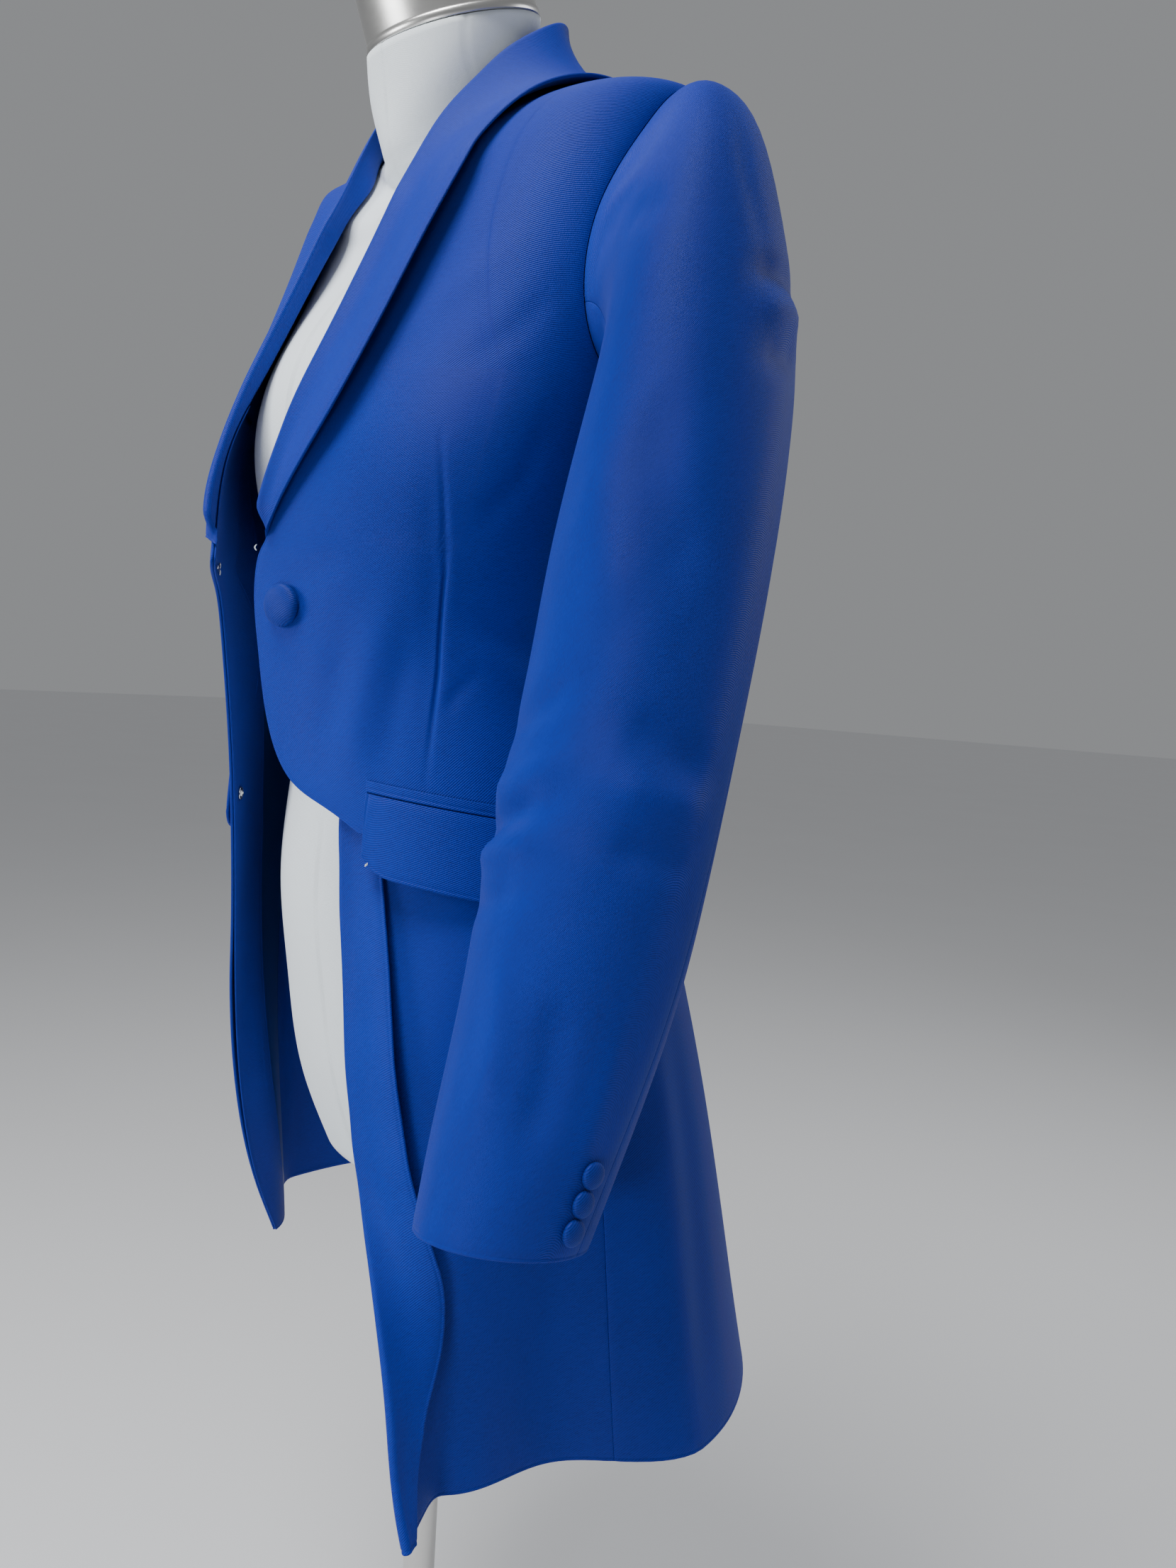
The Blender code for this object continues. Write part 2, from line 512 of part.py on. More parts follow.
def collar_grids(hand, rows, splits=(2, 6, 6)):
    """Outer and inner points of one half of the collar, from the break to the
    centre back."""
    table = along(COLLAR, np.linspace(0, 1, rows))
    base = coat_point(table[:, 0], table[:, 1], hand)
    out = normal_of(coat_point, table[:, 0], table[:, 1], hand)
    moved = base - coat_point(table[:, 0], table[:, 1], LEFT) * (hand, 1, 1)
    near_break = 1 - ease(table[:, 1], *BREAK_LEVELS)
    crest = table[:, 2:5] * (hand, 1, 1) + (0, 0, WAIST) + 1.3 * moved * near_break[:, None]
    landing = coat_point(table[:, 5], table[:, 6], hand)
    edge_out = normal_of(coat_point, table[:, 5], table[:, 6], hand)
    share = 1.0 if hand == LEFT else RIGHT_STAND_OFF
    stand_off = LEAST_STAND_OFF + (table[:, 7] - LEAST_STAND_OFF) * share
    edge = landing + stand_off[:, None] * edge_out
    into = landing - base
    into = unit(into - (into * out).sum(-1, keepdims=True) * out)
    foot = base - into * (CLOTH + 4 * SEAM) - out * CLOTH
    grids = turned_over(foot, out, crest, edge, edge_out, splits)
    for grid in grids:
        grid[..., 0] = hand * np.maximum(hand * grid[..., 0], SEAM / 2)
    return grids


def band_grids(skirt, splits=(2, 6, 5)):
    """Outer and inner points of the band turned back over the left skirt's
    front fold."""
    table = np.array(LEFT_SKIRT)
    levels = np.linspace(table[0, 0], table[-1, 0], len(skirt))
    widths = spline(levels, table[:, 0], table[:, 4])
    lifts = spline(levels, table[:, 0], table[:, 5])
    rows = []
    for row, normals, width, lift in zip(skirt, grid_normals(skirt), widths, lifts):
        start, here, there = by_length(row, [0.0, FOLD_MARGIN, width])
        length = row_length(row)
        place = min(int(width / length * len(row)) + 2, len(row) - 1)
        edge_out = normals[place]
        rows.append((start + normals[2] * MM, here, normals[4], there + edge_out * lift, edge_out))
    crest, base, out, edge, edge_out = (np.array(part) for part in zip(*rows))
    into = unit(base - crest)
    foot = base - into * (CLOTH + 4 * SEAM) - out * CLOTH
    return turned_over(foot, out, crest, edge, edge_out, splits)


def sleeve_point(at, angle, hand=LEFT):
    """Points of a sleeve, at 0 to 1 down it and by the angle round it."""
    at, angle = np.broadcast_arrays(np.asarray(at, float), np.asarray(angle, float))
    table = SLEEVES[hand]
    rows = along(table, at.ravel()).reshape(at.shape + (8,))
    made = sleeve_section(rows, angle)
    start = sleeve_section(np.broadcast_to(table[0], rows.shape), angle)
    hole = armhole(angle % 360)
    hole += (HOLE_CENTRE - hole) * HOLE_GAP
    joined = coat_point(hole[..., 0], hole[..., 1], hand) * (hand, 1, 1)
    fade = (1 - ease(at, 0, 0.30))[..., None]
    return (made + (joined - start) * fade) * (hand, 1, 1)


def sleeve_section(rows, angle):
    outer_x, outer_z, inner_x, inner_z, mid_y, reach, swing, rise = np.moveaxis(rows, -1, 0)
    swing = np.radians(swing)
    c, s = np.cos(np.radians(angle)), np.sin(np.radians(angle))
    half = (outer_x - inner_x) / 2
    return np.stack([
        (outer_x + inner_x) / 2 + half * np.cos(swing) * c - reach * np.sin(swing) * s,
        mid_y - half * np.sin(swing) * c - reach * np.cos(swing) * s,
        WAIST + (outer_z + inner_z) / 2 + (outer_z - inner_z) / 2 * c + reach * rise * s,
    ], -1)


def drawn_in(grids, gaps):
    """Outer and inner points with their borders drawn in by (left, right,
    bottom, top) along the outer face."""
    moved = [grid.copy() for grid in grids]
    outer = grids[0]
    left, right, bottom, top = gaps
    steps = (
        ((slice(None), 0), outer[:, 1] - outer[:, 0], left),
        ((slice(None), -1), outer[:, -2] - outer[:, -1], right),
        ((0,), outer[1] - outer[0], bottom),
        ((-1,), outer[-2] - outer[-1], top),
    )
    for place, inward, gap in steps:
        for grid in moved:
            grid[place] += unit(inward) * gap
    return moved


def on_coat(places, hand, wall=CLOTH, out=0.0):
    """Outer and inner points of a wall on the coat's surface."""
    turns, levels = places[..., 0], places[..., 1]
    outer = moved_out(coat_point, turns, levels, np.asarray(out), hand)
    inner = moved_out(coat_point, turns, levels, np.asarray(out) - wall, hand)
    return outer, inner


def new_mesh(name, points, faces):
    mesh = bpy.data.meshes.new(name)
    mesh.from_pydata([tuple(p) for p in points], [], faces)
    mesh.shade_smooth()
    return mesh


def grid_faces(rows, cols, flip, wrap=False):
    """Quads of a grid of points, row by row."""
    faces = []
    for r in range(rows - 1):
        for c in range(cols if wrap else cols - 1):
            d = (c + 1) % cols
            quad = (r * cols + c, r * cols + d, (r + 1) * cols + d, (r + 1) * cols + c)
            faces.append(quad[::-1] if flip else quad)
    return faces


class Build:
    """The object's collection and materials, with one way to add each kind of piece."""

    def __init__(self):
        for thing in list(bpy.data.objects):
            bpy.data.objects.remove(thing)
        self.parts = bpy.data.collections.new(NAME)
        bpy.context.scene.collection.children.link(self.parts)
        self.materials = {}
        self.shift = Matrix.Translation((0.0, -SET_BACK, 0.0))

    def material(self, name, color, roughness, metallic=0.0):
        made = bpy.data.materials.new(name)
        made.use_nodes = True
        shader = made.node_tree.nodes["Principled BSDF"]
        shader.inputs["Base Color"].default_value = (*color, 1.0)
        shader.inputs["Roughness"].default_value = roughness
        shader.inputs["Metallic"].default_value = metallic
        made.diffuse_color = (*color, 1.0)
        self.materials[name] = made

    def add(self, name, mesh, material):
        made = bpy.data.objects.new(name, mesh)
        made.data.materials.append(self.materials[material])
        made.matrix_world = self.shift
        self.parts.objects.link(made)
        return made

    def cloth(self, name, grids, hand, material="coat_cloth", gaps=(0, 0, 0, 0)):
        """A wall of cloth between its outer and inner points, closed all round."""
        outer, inner = drawn_in(grids, gaps)
        rows, cols = outer.shape[:2]
        flip = hand == RIGHT
        count = rows * cols
        faces = grid_faces(rows, cols, flip)
        faces += [tuple(count + i for i in (a, d, c, b)) for a, b, c, d in faces]
        rim = ([c for c in range(cols - 1)] + [r * cols + cols - 1 for r in range(rows - 1)]
               + [rows * cols - 1 - c for c in range(cols - 1)]
               + [r * cols for r in range(rows - 1, 0, -1)])
        for a, b in zip(rim, rim[1:] + rim[:1]):
            quad = (a, count + a, count + b, b) if a < b else (count + a, count + b, b, a)
            faces.append((quad[0], quad[3], quad[2], quad[1]) if flip else quad)
        points = np.vstack([outer.reshape(-1, 3), inner.reshape(-1, 3)])
        return self.add(name, new_mesh(name, points, faces), material)

    def closed(self, name, rings, material, flip=False):
        """A solid through closed rings, with flat ends."""
        rows, cols = rings.shape[:2]
        faces = grid_faces(rows, cols, flip, wrap=True)
        ends = [tuple(range(cols))[::-1], tuple(range((rows - 1) * cols, rows * cols))]
        if flip:
            ends = [end[::-1] for end in ends]
        return self.add(name, new_mesh(name, rings.reshape(-1, 3), faces + ends), material)

    def turned(self, name, profile, material, matrix, steps=24):
        """A turned solid from (radius, height) pairs, top to bottom."""
        mesh = bpy.data.meshes.new(name)
        points = [(radius, 0.0, height) for radius, height in profile]
        mesh.from_pydata(points, [(i, i + 1) for i in range(len(points) - 1)], [])
        made = self.add(name, mesh, material)
        screw = made.modifiers.new("turn", "SCREW")
        screw.angle = 2 * pi
        screw.steps = steps
        screw.render_steps = steps
        screw.use_merge_vertices = True
        screw.merge_threshold = 0.00005
        made.matrix_world = self.shift @ matrix
        return made

    def wire(self, name, points, radius, material, cyclic=False):
        """A round wire along a row of points."""
        curve = bpy.data.curves.new(name, "CURVE")
        curve.dimensions = "3D"
        curve.bevel_depth = radius
        curve.bevel_resolution = 1
        curve.use_fill_caps = True
        line = curve.splines.new("POLY")
        line.points.add(len(points) - 1)
        for place, point in zip(line.points, points):
            place.co = (*point, 1.0)
        line.use_cyclic_u = cyclic
        made = bpy.data.objects.new(name, curve)
        curve.materials.append(self.materials[material])
        made.matrix_world = self.shift
        self.parts.objects.link(made)
        return made


def axis_matrix(place, direction):
    """A matrix that puts +Z along a direction, at a place."""
    turn = Vector(direction).to_track_quat("Z", "Y")
    return Matrix.Translation(Vector(place)) @ turn.to_matrix().to_4x4()


def dome(radius, height, rim, rings=4):
    """Profile of a domed button, top to bottom."""
    angles = [radians(90 * i / rings) for i in range(rings + 1)]
    top = [(radius * sin(a), rim + (height - rim) * cos(a)) for a in angles]
    return top + [(radius * 0.94, 0.0), (0.0, 0.0)]


def materials(build):
    build.material("coat_cloth", (0.003, 0.050, 0.330), 0.60)
    build.material("coat_lining", (0.003, 0.030, 0.150), 0.40)
    build.material("coat_buttons", (0.003, 0.045, 0.300), 0.55)
    build.material("hook_metal", (0.80, 0.80, 0.80), 0.20, 1.0)
    build.material("snap_metal", (0.62, 0.61, 0.58), 0.30, 1.0)
    build.material("form_linen", (0.80, 0.77, 0.70), 0.80)
    build.material("stand_metal", (0.60, 0.59, 0.57), 0.32, 1.0)


def body_panels(build):
    """Fronts and backs, parted at the side, shoulder and centre back seams."""
    half = SEAM / 2
    left = front_patch(LEFT_EDGE, side_rows(whole=False), LEFT)
    build.cloth("front_left", on_coat(left, LEFT), LEFT, gaps=(0, half, 0, half))
    right = front_patch(RIGHT_EDGE, side_rows(), RIGHT)
    build.cloth("front_right", on_coat(right, RIGHT), RIGHT, gaps=(0, half, 0, half))
    back = back_patch()
    for hand, name in ((LEFT, "back_left"), (RIGHT, "back_right")):
        build.cloth(name, on_coat(back, hand), hand, gaps=(half, half, 0, half))
    return right[:SKIRT_ROWS + BODY_ROWS - 1]


def left_skirt(build):
    """The left front's skirt part and the band turned back from its fold."""
    skirt = left_skirt_rows(SKIRT_ROWS)
    normals = grid_normals(skirt)
    outer, inner = [], []
    for row, out in zip(skirt, normals):
        length = row_length(row)
        places = FOLD_MARGIN + (length - FOLD_MARGIN) * np.array(SKIRT_COLUMNS)
        outer.append(by_length(row, places))
        steps = np.linalg.norm(np.diff(row, axis=0), axis=1)
        at = np.r_[0, np.cumsum(steps)]
        facing = np.stack([np.interp(places, at, out[:, i]) for i in range(3)], -1)
        inner.append(outer[-1] - CLOTH * unit(facing))
    seam = normal_of(coat_point, *side_seam(np.linspace(hem_level(80.0), POCKET_LEVEL, SKIRT_ROWS)).T)
    outer, inner = np.array(outer), np.array(inner)
    inner[:, -1] = outer[:, -1] - CLOTH * seam
    build.cloth("skirt_left", (outer, inner), LEFT, gaps=(0, SEAM / 2, 0, 0))
    build.cloth("band_left", band_grids(left_skirt_rows(BAND_ROWS), (2, 5, 4)), LEFT)


def right_facing(build, places):
    """Facing inside the right front's edge, and the lining beside it in the skirt."""
    outer = on_coat(places, RIGHT)[0]
    facing, lining = [], []
    for row, place in zip(outer, places):
        at = np.r_[0, np.cumsum(np.linalg.norm(np.diff(row, axis=0), axis=1))]
        width = min(FACING_WIDTH, FACING_SHARE * at[-1])
        for made, low, high, count in ((facing, SEAM, width, 7),
                                       (lining, width + SEAM, LINING_REACH * at[-1], 9)):
            far = np.linspace(low, high, count)
            made.append(np.stack([np.interp(far, at, place[:, i]) for i in (0, 1)], -1))
    depth = CLOTH + 6 * SEAM
    build.cloth("facing_right", on_coat(np.array(facing), RIGHT, LIGHT, -depth), RIGHT,
                gaps=(0, 0, SEAM, 0))
    lining = np.array(lining)[:LINING_ROWS]
    build.cloth("lining_right", on_coat(lining, RIGHT, LIGHT, -depth), RIGHT, "coat_lining",
                (0, 0, 8 * MM, 0))


def collars(build):
    for hand, name in ((LEFT, "collar_left"), (RIGHT, "collar_right")):
        build.cloth(name, collar_grids(hand, 23, (2, 5, 5)), hand)


def sleeves(build):
    places = np.array(SLEEVE_ROWS)
    for hand, side in ((LEFT, "left"), (RIGHT, "right")):
        back = BACK_SEAM[0] + (BACK_SEAM[1] - BACK_SEAM[0]) * places[:, None]
        top = back - 360 + (FRONT_SEAM - back + 360) * np.linspace(0, 1, 13)
        under = FRONT_SEAM + (back - FRONT_SEAM) * np.linspace(0, 1, 9)
        for name, angles in (("sleeve_top_", top), ("sleeve_under_", under)):
            outer, normal = sleeve_place(places[:, None] + 0 * angles, angles, hand)
            hole = armhole(angles[0] % 360)
            normal[0] = unit(normal_of(coat_point, hole[:, 0], hole[:, 1], hand) + normal[1])
            build.cloth(name + side, (outer, outer - CLOTH * normal), hand,
                        gaps=(SEAM, SEAM, SEAM, 0))
        line = np.linspace(1.0, 0.8, 80)
        seam = sleeve_point(line, BACK_SEAM[1] + BUTTON_TURN, hand)
        far = np.r_[0, np.cumsum(np.linalg.norm(np.diff(seam, axis=0), axis=1))]
        for i, distance in enumerate(CUFF_PLACES):
            at = np.interp(distance, far, line)
            point, normal = sleeve_place(at, BACK_SEAM[1] + BUTTON_TURN, hand)
            radius, height = CUFF_BUTTON
            matrix = axis_matrix(point + normal * 2 * SEAM, normal)
            build.turned(f"cuff_button_{side}_{i + 1}", dome(radius, height, 0.001, 3),
                         "coat_buttons", matrix, 14)


def sleeve_place(at, angle, hand):
    """A point of a sleeve and its outward normal."""
    point = sleeve_point(at, angle, hand)
    round_it = sleeve_point(at, angle + 1, hand) - sleeve_point(at, angle - 1, hand)
    low, high = np.minimum(at + 0.002, 1.0), np.maximum(at - 0.002, 0.0)
    down = sleeve_point(low, angle, hand) - sleeve_point(high, angle, hand)
    return point, hand * unit(np.cross(round_it, down))


def pockets(build):
    """A welt and a flap on either front."""
    start, end, top_a, top_b, low_a, low_b, corner = FLAP
    turns = start + (end - start) * np.array(FLAP_COLUMNS)
    share = (turns - start) / (end - start)
    near = np.clip(1 - (turns - start) / corner, 0, 1)
    lifted = 0.012 * (1 - np.sqrt(1 - near ** 2))
    top = top_a + (top_b - top_a) * share
    low = low_a + (low_b - low_a) * share + lifted
    rise = np.linspace(0, 1, 5)[:, None]
    levels = low + (top - low) * rise
    lift = CLOTH + 0.7 * MM + 2.0 * MM * (1 - rise) * np.ones_like(levels)
    flap = np.stack([turns[None] + 0 * levels, levels], -1)
    w_start, w_end, w_top_a, w_top_b, w_low_a, w_low_b = WELT
    w_low = w_low_a + (w_low_b - w_low_a) * share
    w_top = w_top_a + (w_top_b - w_top_a) * share
    w_levels = np.array([w_low, (w_low + w_top) / 2, w_top])
    welt = np.stack([turns[None] + 0 * w_levels, w_levels], -1)
    for hand, side in ((LEFT, "left"), (RIGHT, "right")):
        build.cloth("flap_" + side, on_coat(flap, hand, CLOTH, lift), hand)
        build.cloth("welt_" + side, on_coat(welt, hand, LIGHT, LIGHT + 0.7 * MM), hand)


def fastenings(build):
    """The front button, and the hook and snap inside the right front."""
    x, level, radius, height = FRONT_BUTTON
    turn = turn_at(x, level)
    normal = normal_of(coat_point, turn, level)
    place = coat_point(turn, level) + normal * 2 * SEAM
    build.turned("button_front", dome(radius, height, 0.002, 5), "coat_buttons",
                 axis_matrix(place, normal), 24)
    level, inset, radius, height = SNAP
    x = spline(level, [row[1] for row in RIGHT_EDGE], [row[0] for row in RIGHT_EDGE]) + inset
    turn = turn_at(x, level, RIGHT)
    normal = normal_of(coat_point, turn, level, RIGHT)
    depth = CLOTH + LIGHT + 7 * SEAM
    build.turned("snap", dome(radius, height, 0.0008, 3), "snap_metal",
                 axis_matrix(coat_point(turn, level, RIGHT) - normal * depth, -normal), 18)
    hook(build)


def hook(build):
    """A bent wire hook with two sewing eyes, inside the right front's edge."""
    x = spline(HOOK_LEVEL, [row[1] for row in RIGHT_EDGE], [row[0] for row in RIGHT_EDGE])
    turn = turn_at(x + 0.010, HOOK_LEVEL, RIGHT)
    place = coat_point(turn, HOOK_LEVEL, RIGHT)
    inward = -normal_of(coat_point, turn, HOOK_LEVEL, RIGHT)
    toward = unit(coat_point(turn - 2, HOOK_LEVEL, RIGHT) - place)
    up = np.cross(inward, toward)
    depth = CLOTH + LIGHT + 10 * SEAM + 0.5 * MM
    eye = 1.7 * MM
    points = []
    for side in (1, -1):
        angles = np.linspace(-140, 140, 9)[::side]
        for a in np.radians(angles):
            along_it = -0.003 + eye * (1 - np.cos(a)) - eye
            points.append((along_it, side * (0.0022 + eye * np.sin(a)), 0.0))
        if side == 1:
            nose = [(0.004, 0.0008, 0.0), (0.011, 0.0008, 0.0002), (0.0135, 0.0008, 0.0014),
                    (0.0135, -0.0008, 0.0014), (0.011, -0.0008, 0.0002), (0.004, -0.0008, 0.0)]
            points += nose
    world = [place + inward * (depth + c) + toward * a + up * b for a, b, c in points]
    build.wire("hook", world, 0.45 * MM, "hook_metal")


def form_rings(turns, levels):
    """Rings of the dress form, which follow the coat's inside over the shoulders."""
    rings = ring_point(FORM, turns[None], levels[:, None], tilted=True)
    share = ease(levels, 0.340, 0.375) * (1 - ease(levels, 0.436, 0.456))
    under = CLOTH + REST_GAP
    for i, turn in enumerate(turns):
        hand = LEFT if turn <= 180 else RIGHT
        resting = moved_out(coat_point, min(turn, 360 - turn), levels, -under, hand)
        rings[:, i] += (resting - rings[:, i]) * share[:, None]
    return rings


def stand(build):
    """The linen form with its neck cap, pole and foot."""
    levels = np.array(FORM_LEVELS)
    turns = np.linspace(0, 360, 32, endpoint=False)
    rings = form_rings(turns, levels)
    build.closed("form_torso", rings, "form_linen")
    centre = Vector(CAP_CENTRE) + Vector((0, 0, WAIST))
    tilt = Matrix.Rotation(radians(CAP_TILT), 4, "X")
    gap = tilt @ Vector((0, 0, 2 * SEAM))
    crown = [(0.0, CAP_HEIGHT), (0.022, CAP_HEIGHT - 0.001), (0.040, CAP_HEIGHT - 0.004),
             (0.052, CAP_HEIGHT - 0.009), (0.0585, CAP_HEIGHT - 0.016)]
    wall = [(CAP_RADIUS, CAP_HEIGHT - 0.024), (CAP_RADIUS, 0.004), (CAP_RADIUS + 0.001, 0.003),
            (CAP_RADIUS + 0.001, 0.0), (0.0, 0.0)]
    build.turned("neck_cap", crown + wall, "stand_metal",
                 Matrix.Translation(centre + gap) @ tilt, 32)
    under_form = Matrix.Translation((0.0, SET_BACK, 0.0))
    top = WAIST + FORM[0, 1] - SEAM
    foot_top = FOOT_HEIGHT + SEAM
    build.turned("pole", [(0.0, top), (POLE_RADIUS, top), (POLE_RADIUS, foot_top), (0.0, foot_top)],
                 "stand_metal", under_form, 20)
    edge = FOOT_RADIUS
    foot = [(0.0, FOOT_HEIGHT), (0.030, FOOT_HEIGHT), (0.034, 0.020), (0.060, 0.016), (edge - 0.010, 0.011),
            (edge - 0.003, 0.009), (edge, 0.006), (edge, 0.002), (edge - 0.002, 0.0), (0.0, 0.0)]
    build.turned("foot", foot, "stand_metal", under_form, 32)


def main():
    build = Build()
    materials(build)
    right = body_panels(build)
    left_skirt(build)
    right_facing(build, right)
    collars(build)
    sleeves(build)
    pockets(build)
    fastenings(build)
    stand(build)


main()
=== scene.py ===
"""Looks of a saddle seat coat of royal blue twill on a linen dress form.

Every piece of cloth is a thin shell on the form of its solid, with the soft
troughs and ridges of the worn cloth, seam grooves and rounded edges. The coat's
body is read by turn (degrees round from the centre front) and level (metres up
the cloth, from the waist). Lengths are in metres.
"""

from math import cos, pi, radians, sin

import bmesh
import bpy
import numpy as np
from mathutils import Matrix, Vector


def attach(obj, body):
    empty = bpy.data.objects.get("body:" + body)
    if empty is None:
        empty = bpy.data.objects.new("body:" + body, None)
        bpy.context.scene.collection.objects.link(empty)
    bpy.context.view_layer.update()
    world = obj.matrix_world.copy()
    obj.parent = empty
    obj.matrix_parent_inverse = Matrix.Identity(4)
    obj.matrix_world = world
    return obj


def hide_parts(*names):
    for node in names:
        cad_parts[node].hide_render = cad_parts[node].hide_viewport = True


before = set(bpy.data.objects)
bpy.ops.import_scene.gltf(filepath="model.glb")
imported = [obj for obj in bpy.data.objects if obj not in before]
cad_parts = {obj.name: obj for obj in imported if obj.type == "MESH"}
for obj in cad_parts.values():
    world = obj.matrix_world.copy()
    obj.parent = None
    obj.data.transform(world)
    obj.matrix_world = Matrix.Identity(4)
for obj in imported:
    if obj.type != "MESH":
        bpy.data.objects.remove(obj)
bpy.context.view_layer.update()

MM = 0.001
WAIST = 1.02  # height of the coat's waist line above the floor
CLOTH = 2.0 * MM  # wall of the coat: face cloth and its backing
LIGHT = 1.2 * MM  # wall of a facing, lining or flap
SEAM = 0.3 * MM  # gap between neighbouring pieces
LEFT, RIGHT = 1, -1

# Rings of the coat's body from the waist up:
# level, z at front, side and back, half width, y at front, side and back,
# squareness of the front and back halves, hollow between front corner and side
BODY = (
    (0.000, 0.000, 0.000, 0.000, 0.148, -0.162, -0.010, 0.084, 2.3, 2.2, 0.0),
    (0.060, 0.060, 0.060, 0.060, 0.149, -0.164, -0.008, 0.084, 2.3, 2.2, 0.0),
    (0.130, 0.130, 0.132, 0.130, 0.161, -0.155, 0.000, 0.098, 2.3, 2.3, 0.0),
    (0.190, 0.183, 0.198, 0.195, 0.172, -0.132, 0.010, 0.112, 2.1, 2.4, 0.0),
    (0.250, 0.228, 0.268, 0.255, 0.183, -0.108, 0.022, 0.120, 2.0, 2.5, 0.0),
    (0.310, 0.265, 0.326, 0.310, 0.192, -0.088, 0.032, 0.118, 2.0, 2.4, 0.0),
    (0.350, 0.288, 0.357, 0.340, 0.189, -0.075, 0.036, 0.110, 2.0, 2.2, 0.0),
    (0.390, 0.306, 0.366, 0.360, 0.152, -0.064, 0.034, 0.092, 2.0, 2.1, 0.0),
    (0.440, 0.324, 0.380, 0.386, 0.102, -0.050, 0.026, 0.068, 2.0, 2.0, 0.0),
    (0.480, 0.338, 0.392, 0.410, 0.074, -0.040, 0.020, 0.057, 2.0, 2.0, 0.0),
)
# Front squareness of the same rings on the wearer's right, where the front
# hangs flatter and its edge stands away from the body, and y at the front of
# the lowest of them
FLATTER = (1.42, 1.48, 1.70, 1.78, 1.66, 1.58, 1.58, 1.66, 1.82, 2.00)
STANDING_AWAY = (-0.177, -0.176, -0.161)
# Rings below the waist, on the wearer's left and right
SKIRT_LEFT = (
    (-0.560, -0.560, -0.560, -0.560, 0.292, -0.172, 0.024, 0.242, 2.5, 1.85, 0.150),
    (-0.450, -0.450, -0.450, -0.450, 0.265, -0.168, 0.018, 0.218, 2.5, 1.90, 0.130),
    (-0.300, -0.300, -0.300, -0.300, 0.228, -0.164, 0.010, 0.184, 2.7, 2.10, 0.065),
    (-0.180, -0.180, -0.180, -0.180, 0.196, -0.160, 0.000, 0.150, 2.8, 2.30, 0.015),
    (-0.080, -0.080, -0.080, -0.080, 0.167, -0.160, -0.008, 0.112, 2.5, 2.40, 0.000),
)
SKIRT_RIGHT = (
    (-0.560, -0.560, -0.560, -0.560, 0.240, -0.100, 0.036, 0.242, 1.42, 2.60, 0.150),
    (-0.450, -0.450, -0.450, -0.450, 0.224, -0.119, 0.027, 0.218, 1.42, 2.60, 0.130),
    (-0.300, -0.300, -0.300, -0.300, 0.202, -0.148, 0.010, 0.184, 1.42, 2.50, 0.065),
    (-0.180, -0.180, -0.180, -0.180, 0.182, -0.157, 0.000, 0.150, 1.42, 2.40, 0.015),
    (-0.080, -0.080, -0.080, -0.080, 0.160, -0.166, -0.008, 0.112, 1.42, 2.40, 0.000),
)
BODY_RIGHT = np.array(BODY)
BODY_RIGHT[:, 8] = FLATTER
BODY_RIGHT[:3, 5] = STANDING_AWAY
RINGS = {LEFT: np.array(SKIRT_LEFT + BODY), RIGHT: np.vstack([SKIRT_RIGHT, BODY_RIGHT])}
HOLLOW = (52, 40)  # turn at which the rings' hollow starts, and how far it goes on

# Rings of the dress form, with the same columns but, in place of the hollow,
# how flat each ring lies: 2 over the shoulders, 1 at the tilted top of the neck
FORM = np.array((
    (-0.375, -0.375, -0.375, -0.375, 0.112, -0.046, 0.030, 0.098, 2.2, 2.2, 2.0),
    (-0.320, -0.320, -0.320, -0.320, 0.130, -0.068, 0.030, 0.112, 2.2, 2.2, 2.0),
    (-0.240, -0.240, -0.240, -0.240, 0.140, -0.085, 0.026, 0.120, 2.1, 2.2, 2.0),
    (-0.160, -0.160, -0.160, -0.160, 0.142, -0.094, 0.020, 0.116, 2.1, 2.2, 2.0),
    (-0.080, -0.080, -0.080, -0.080, 0.132, -0.088, 0.012, 0.092, 2.1, 2.2, 2.0),
    (0.000, 0.000, 0.000, 0.000, 0.120, -0.092, 0.002, 0.070, 2.1, 2.1, 2.0),
    (0.060, 0.060, 0.060, 0.060, 0.130, -0.110, 0.000, 0.073, 2.1, 2.1, 2.0),
    (0.130, 0.130, 0.130, 0.130, 0.146, -0.128, 0.002, 0.085, 2.1, 2.2, 2.0),
    (0.190, 0.184, 0.194, 0.192, 0.156, -0.124, 0.010, 0.098, 1.85, 2.3, 2.0),
    (0.250, 0.228, 0.258, 0.250, 0.162, -0.100, 0.022, 0.106, 1.72, 2.3, 2.0),
    (0.310, 0.260, 0.314, 0.306, 0.162, -0.078, 0.030, 0.104, 1.66, 2.3, 2.0),
    (0.350, 0.282, 0.348, 0.336, 0.164, -0.068, 0.035, 0.098, 1.66, 2.2, 2.0),
    (0.390, 0.3025, 0.3632, 0.3575, 0.147, -0.0605, 0.034, 0.0890, 2.0, 2.1, 2.0),
    (0.440, 0.3205, 0.3772, 0.3835, 0.0985, -0.047, 0.026, 0.0650, 2.0, 2.0, 2.0),
    (0.470, 0.336, 0.388, 0.398, 0.064, -0.058, 0.010, 0.0510, 1.6, 2.0, 1.6),
    (0.500, 0.364, 0.405, 0.420, 0.057, -0.064, -0.006, 0.0480, 2.0, 2.0, 1.2),
    (0.545, 0.4055, 0.4306, 0.4556, 0.0595, -0.0705, -0.012, 0.0475, 2.0, 2.0, 1.0),
))

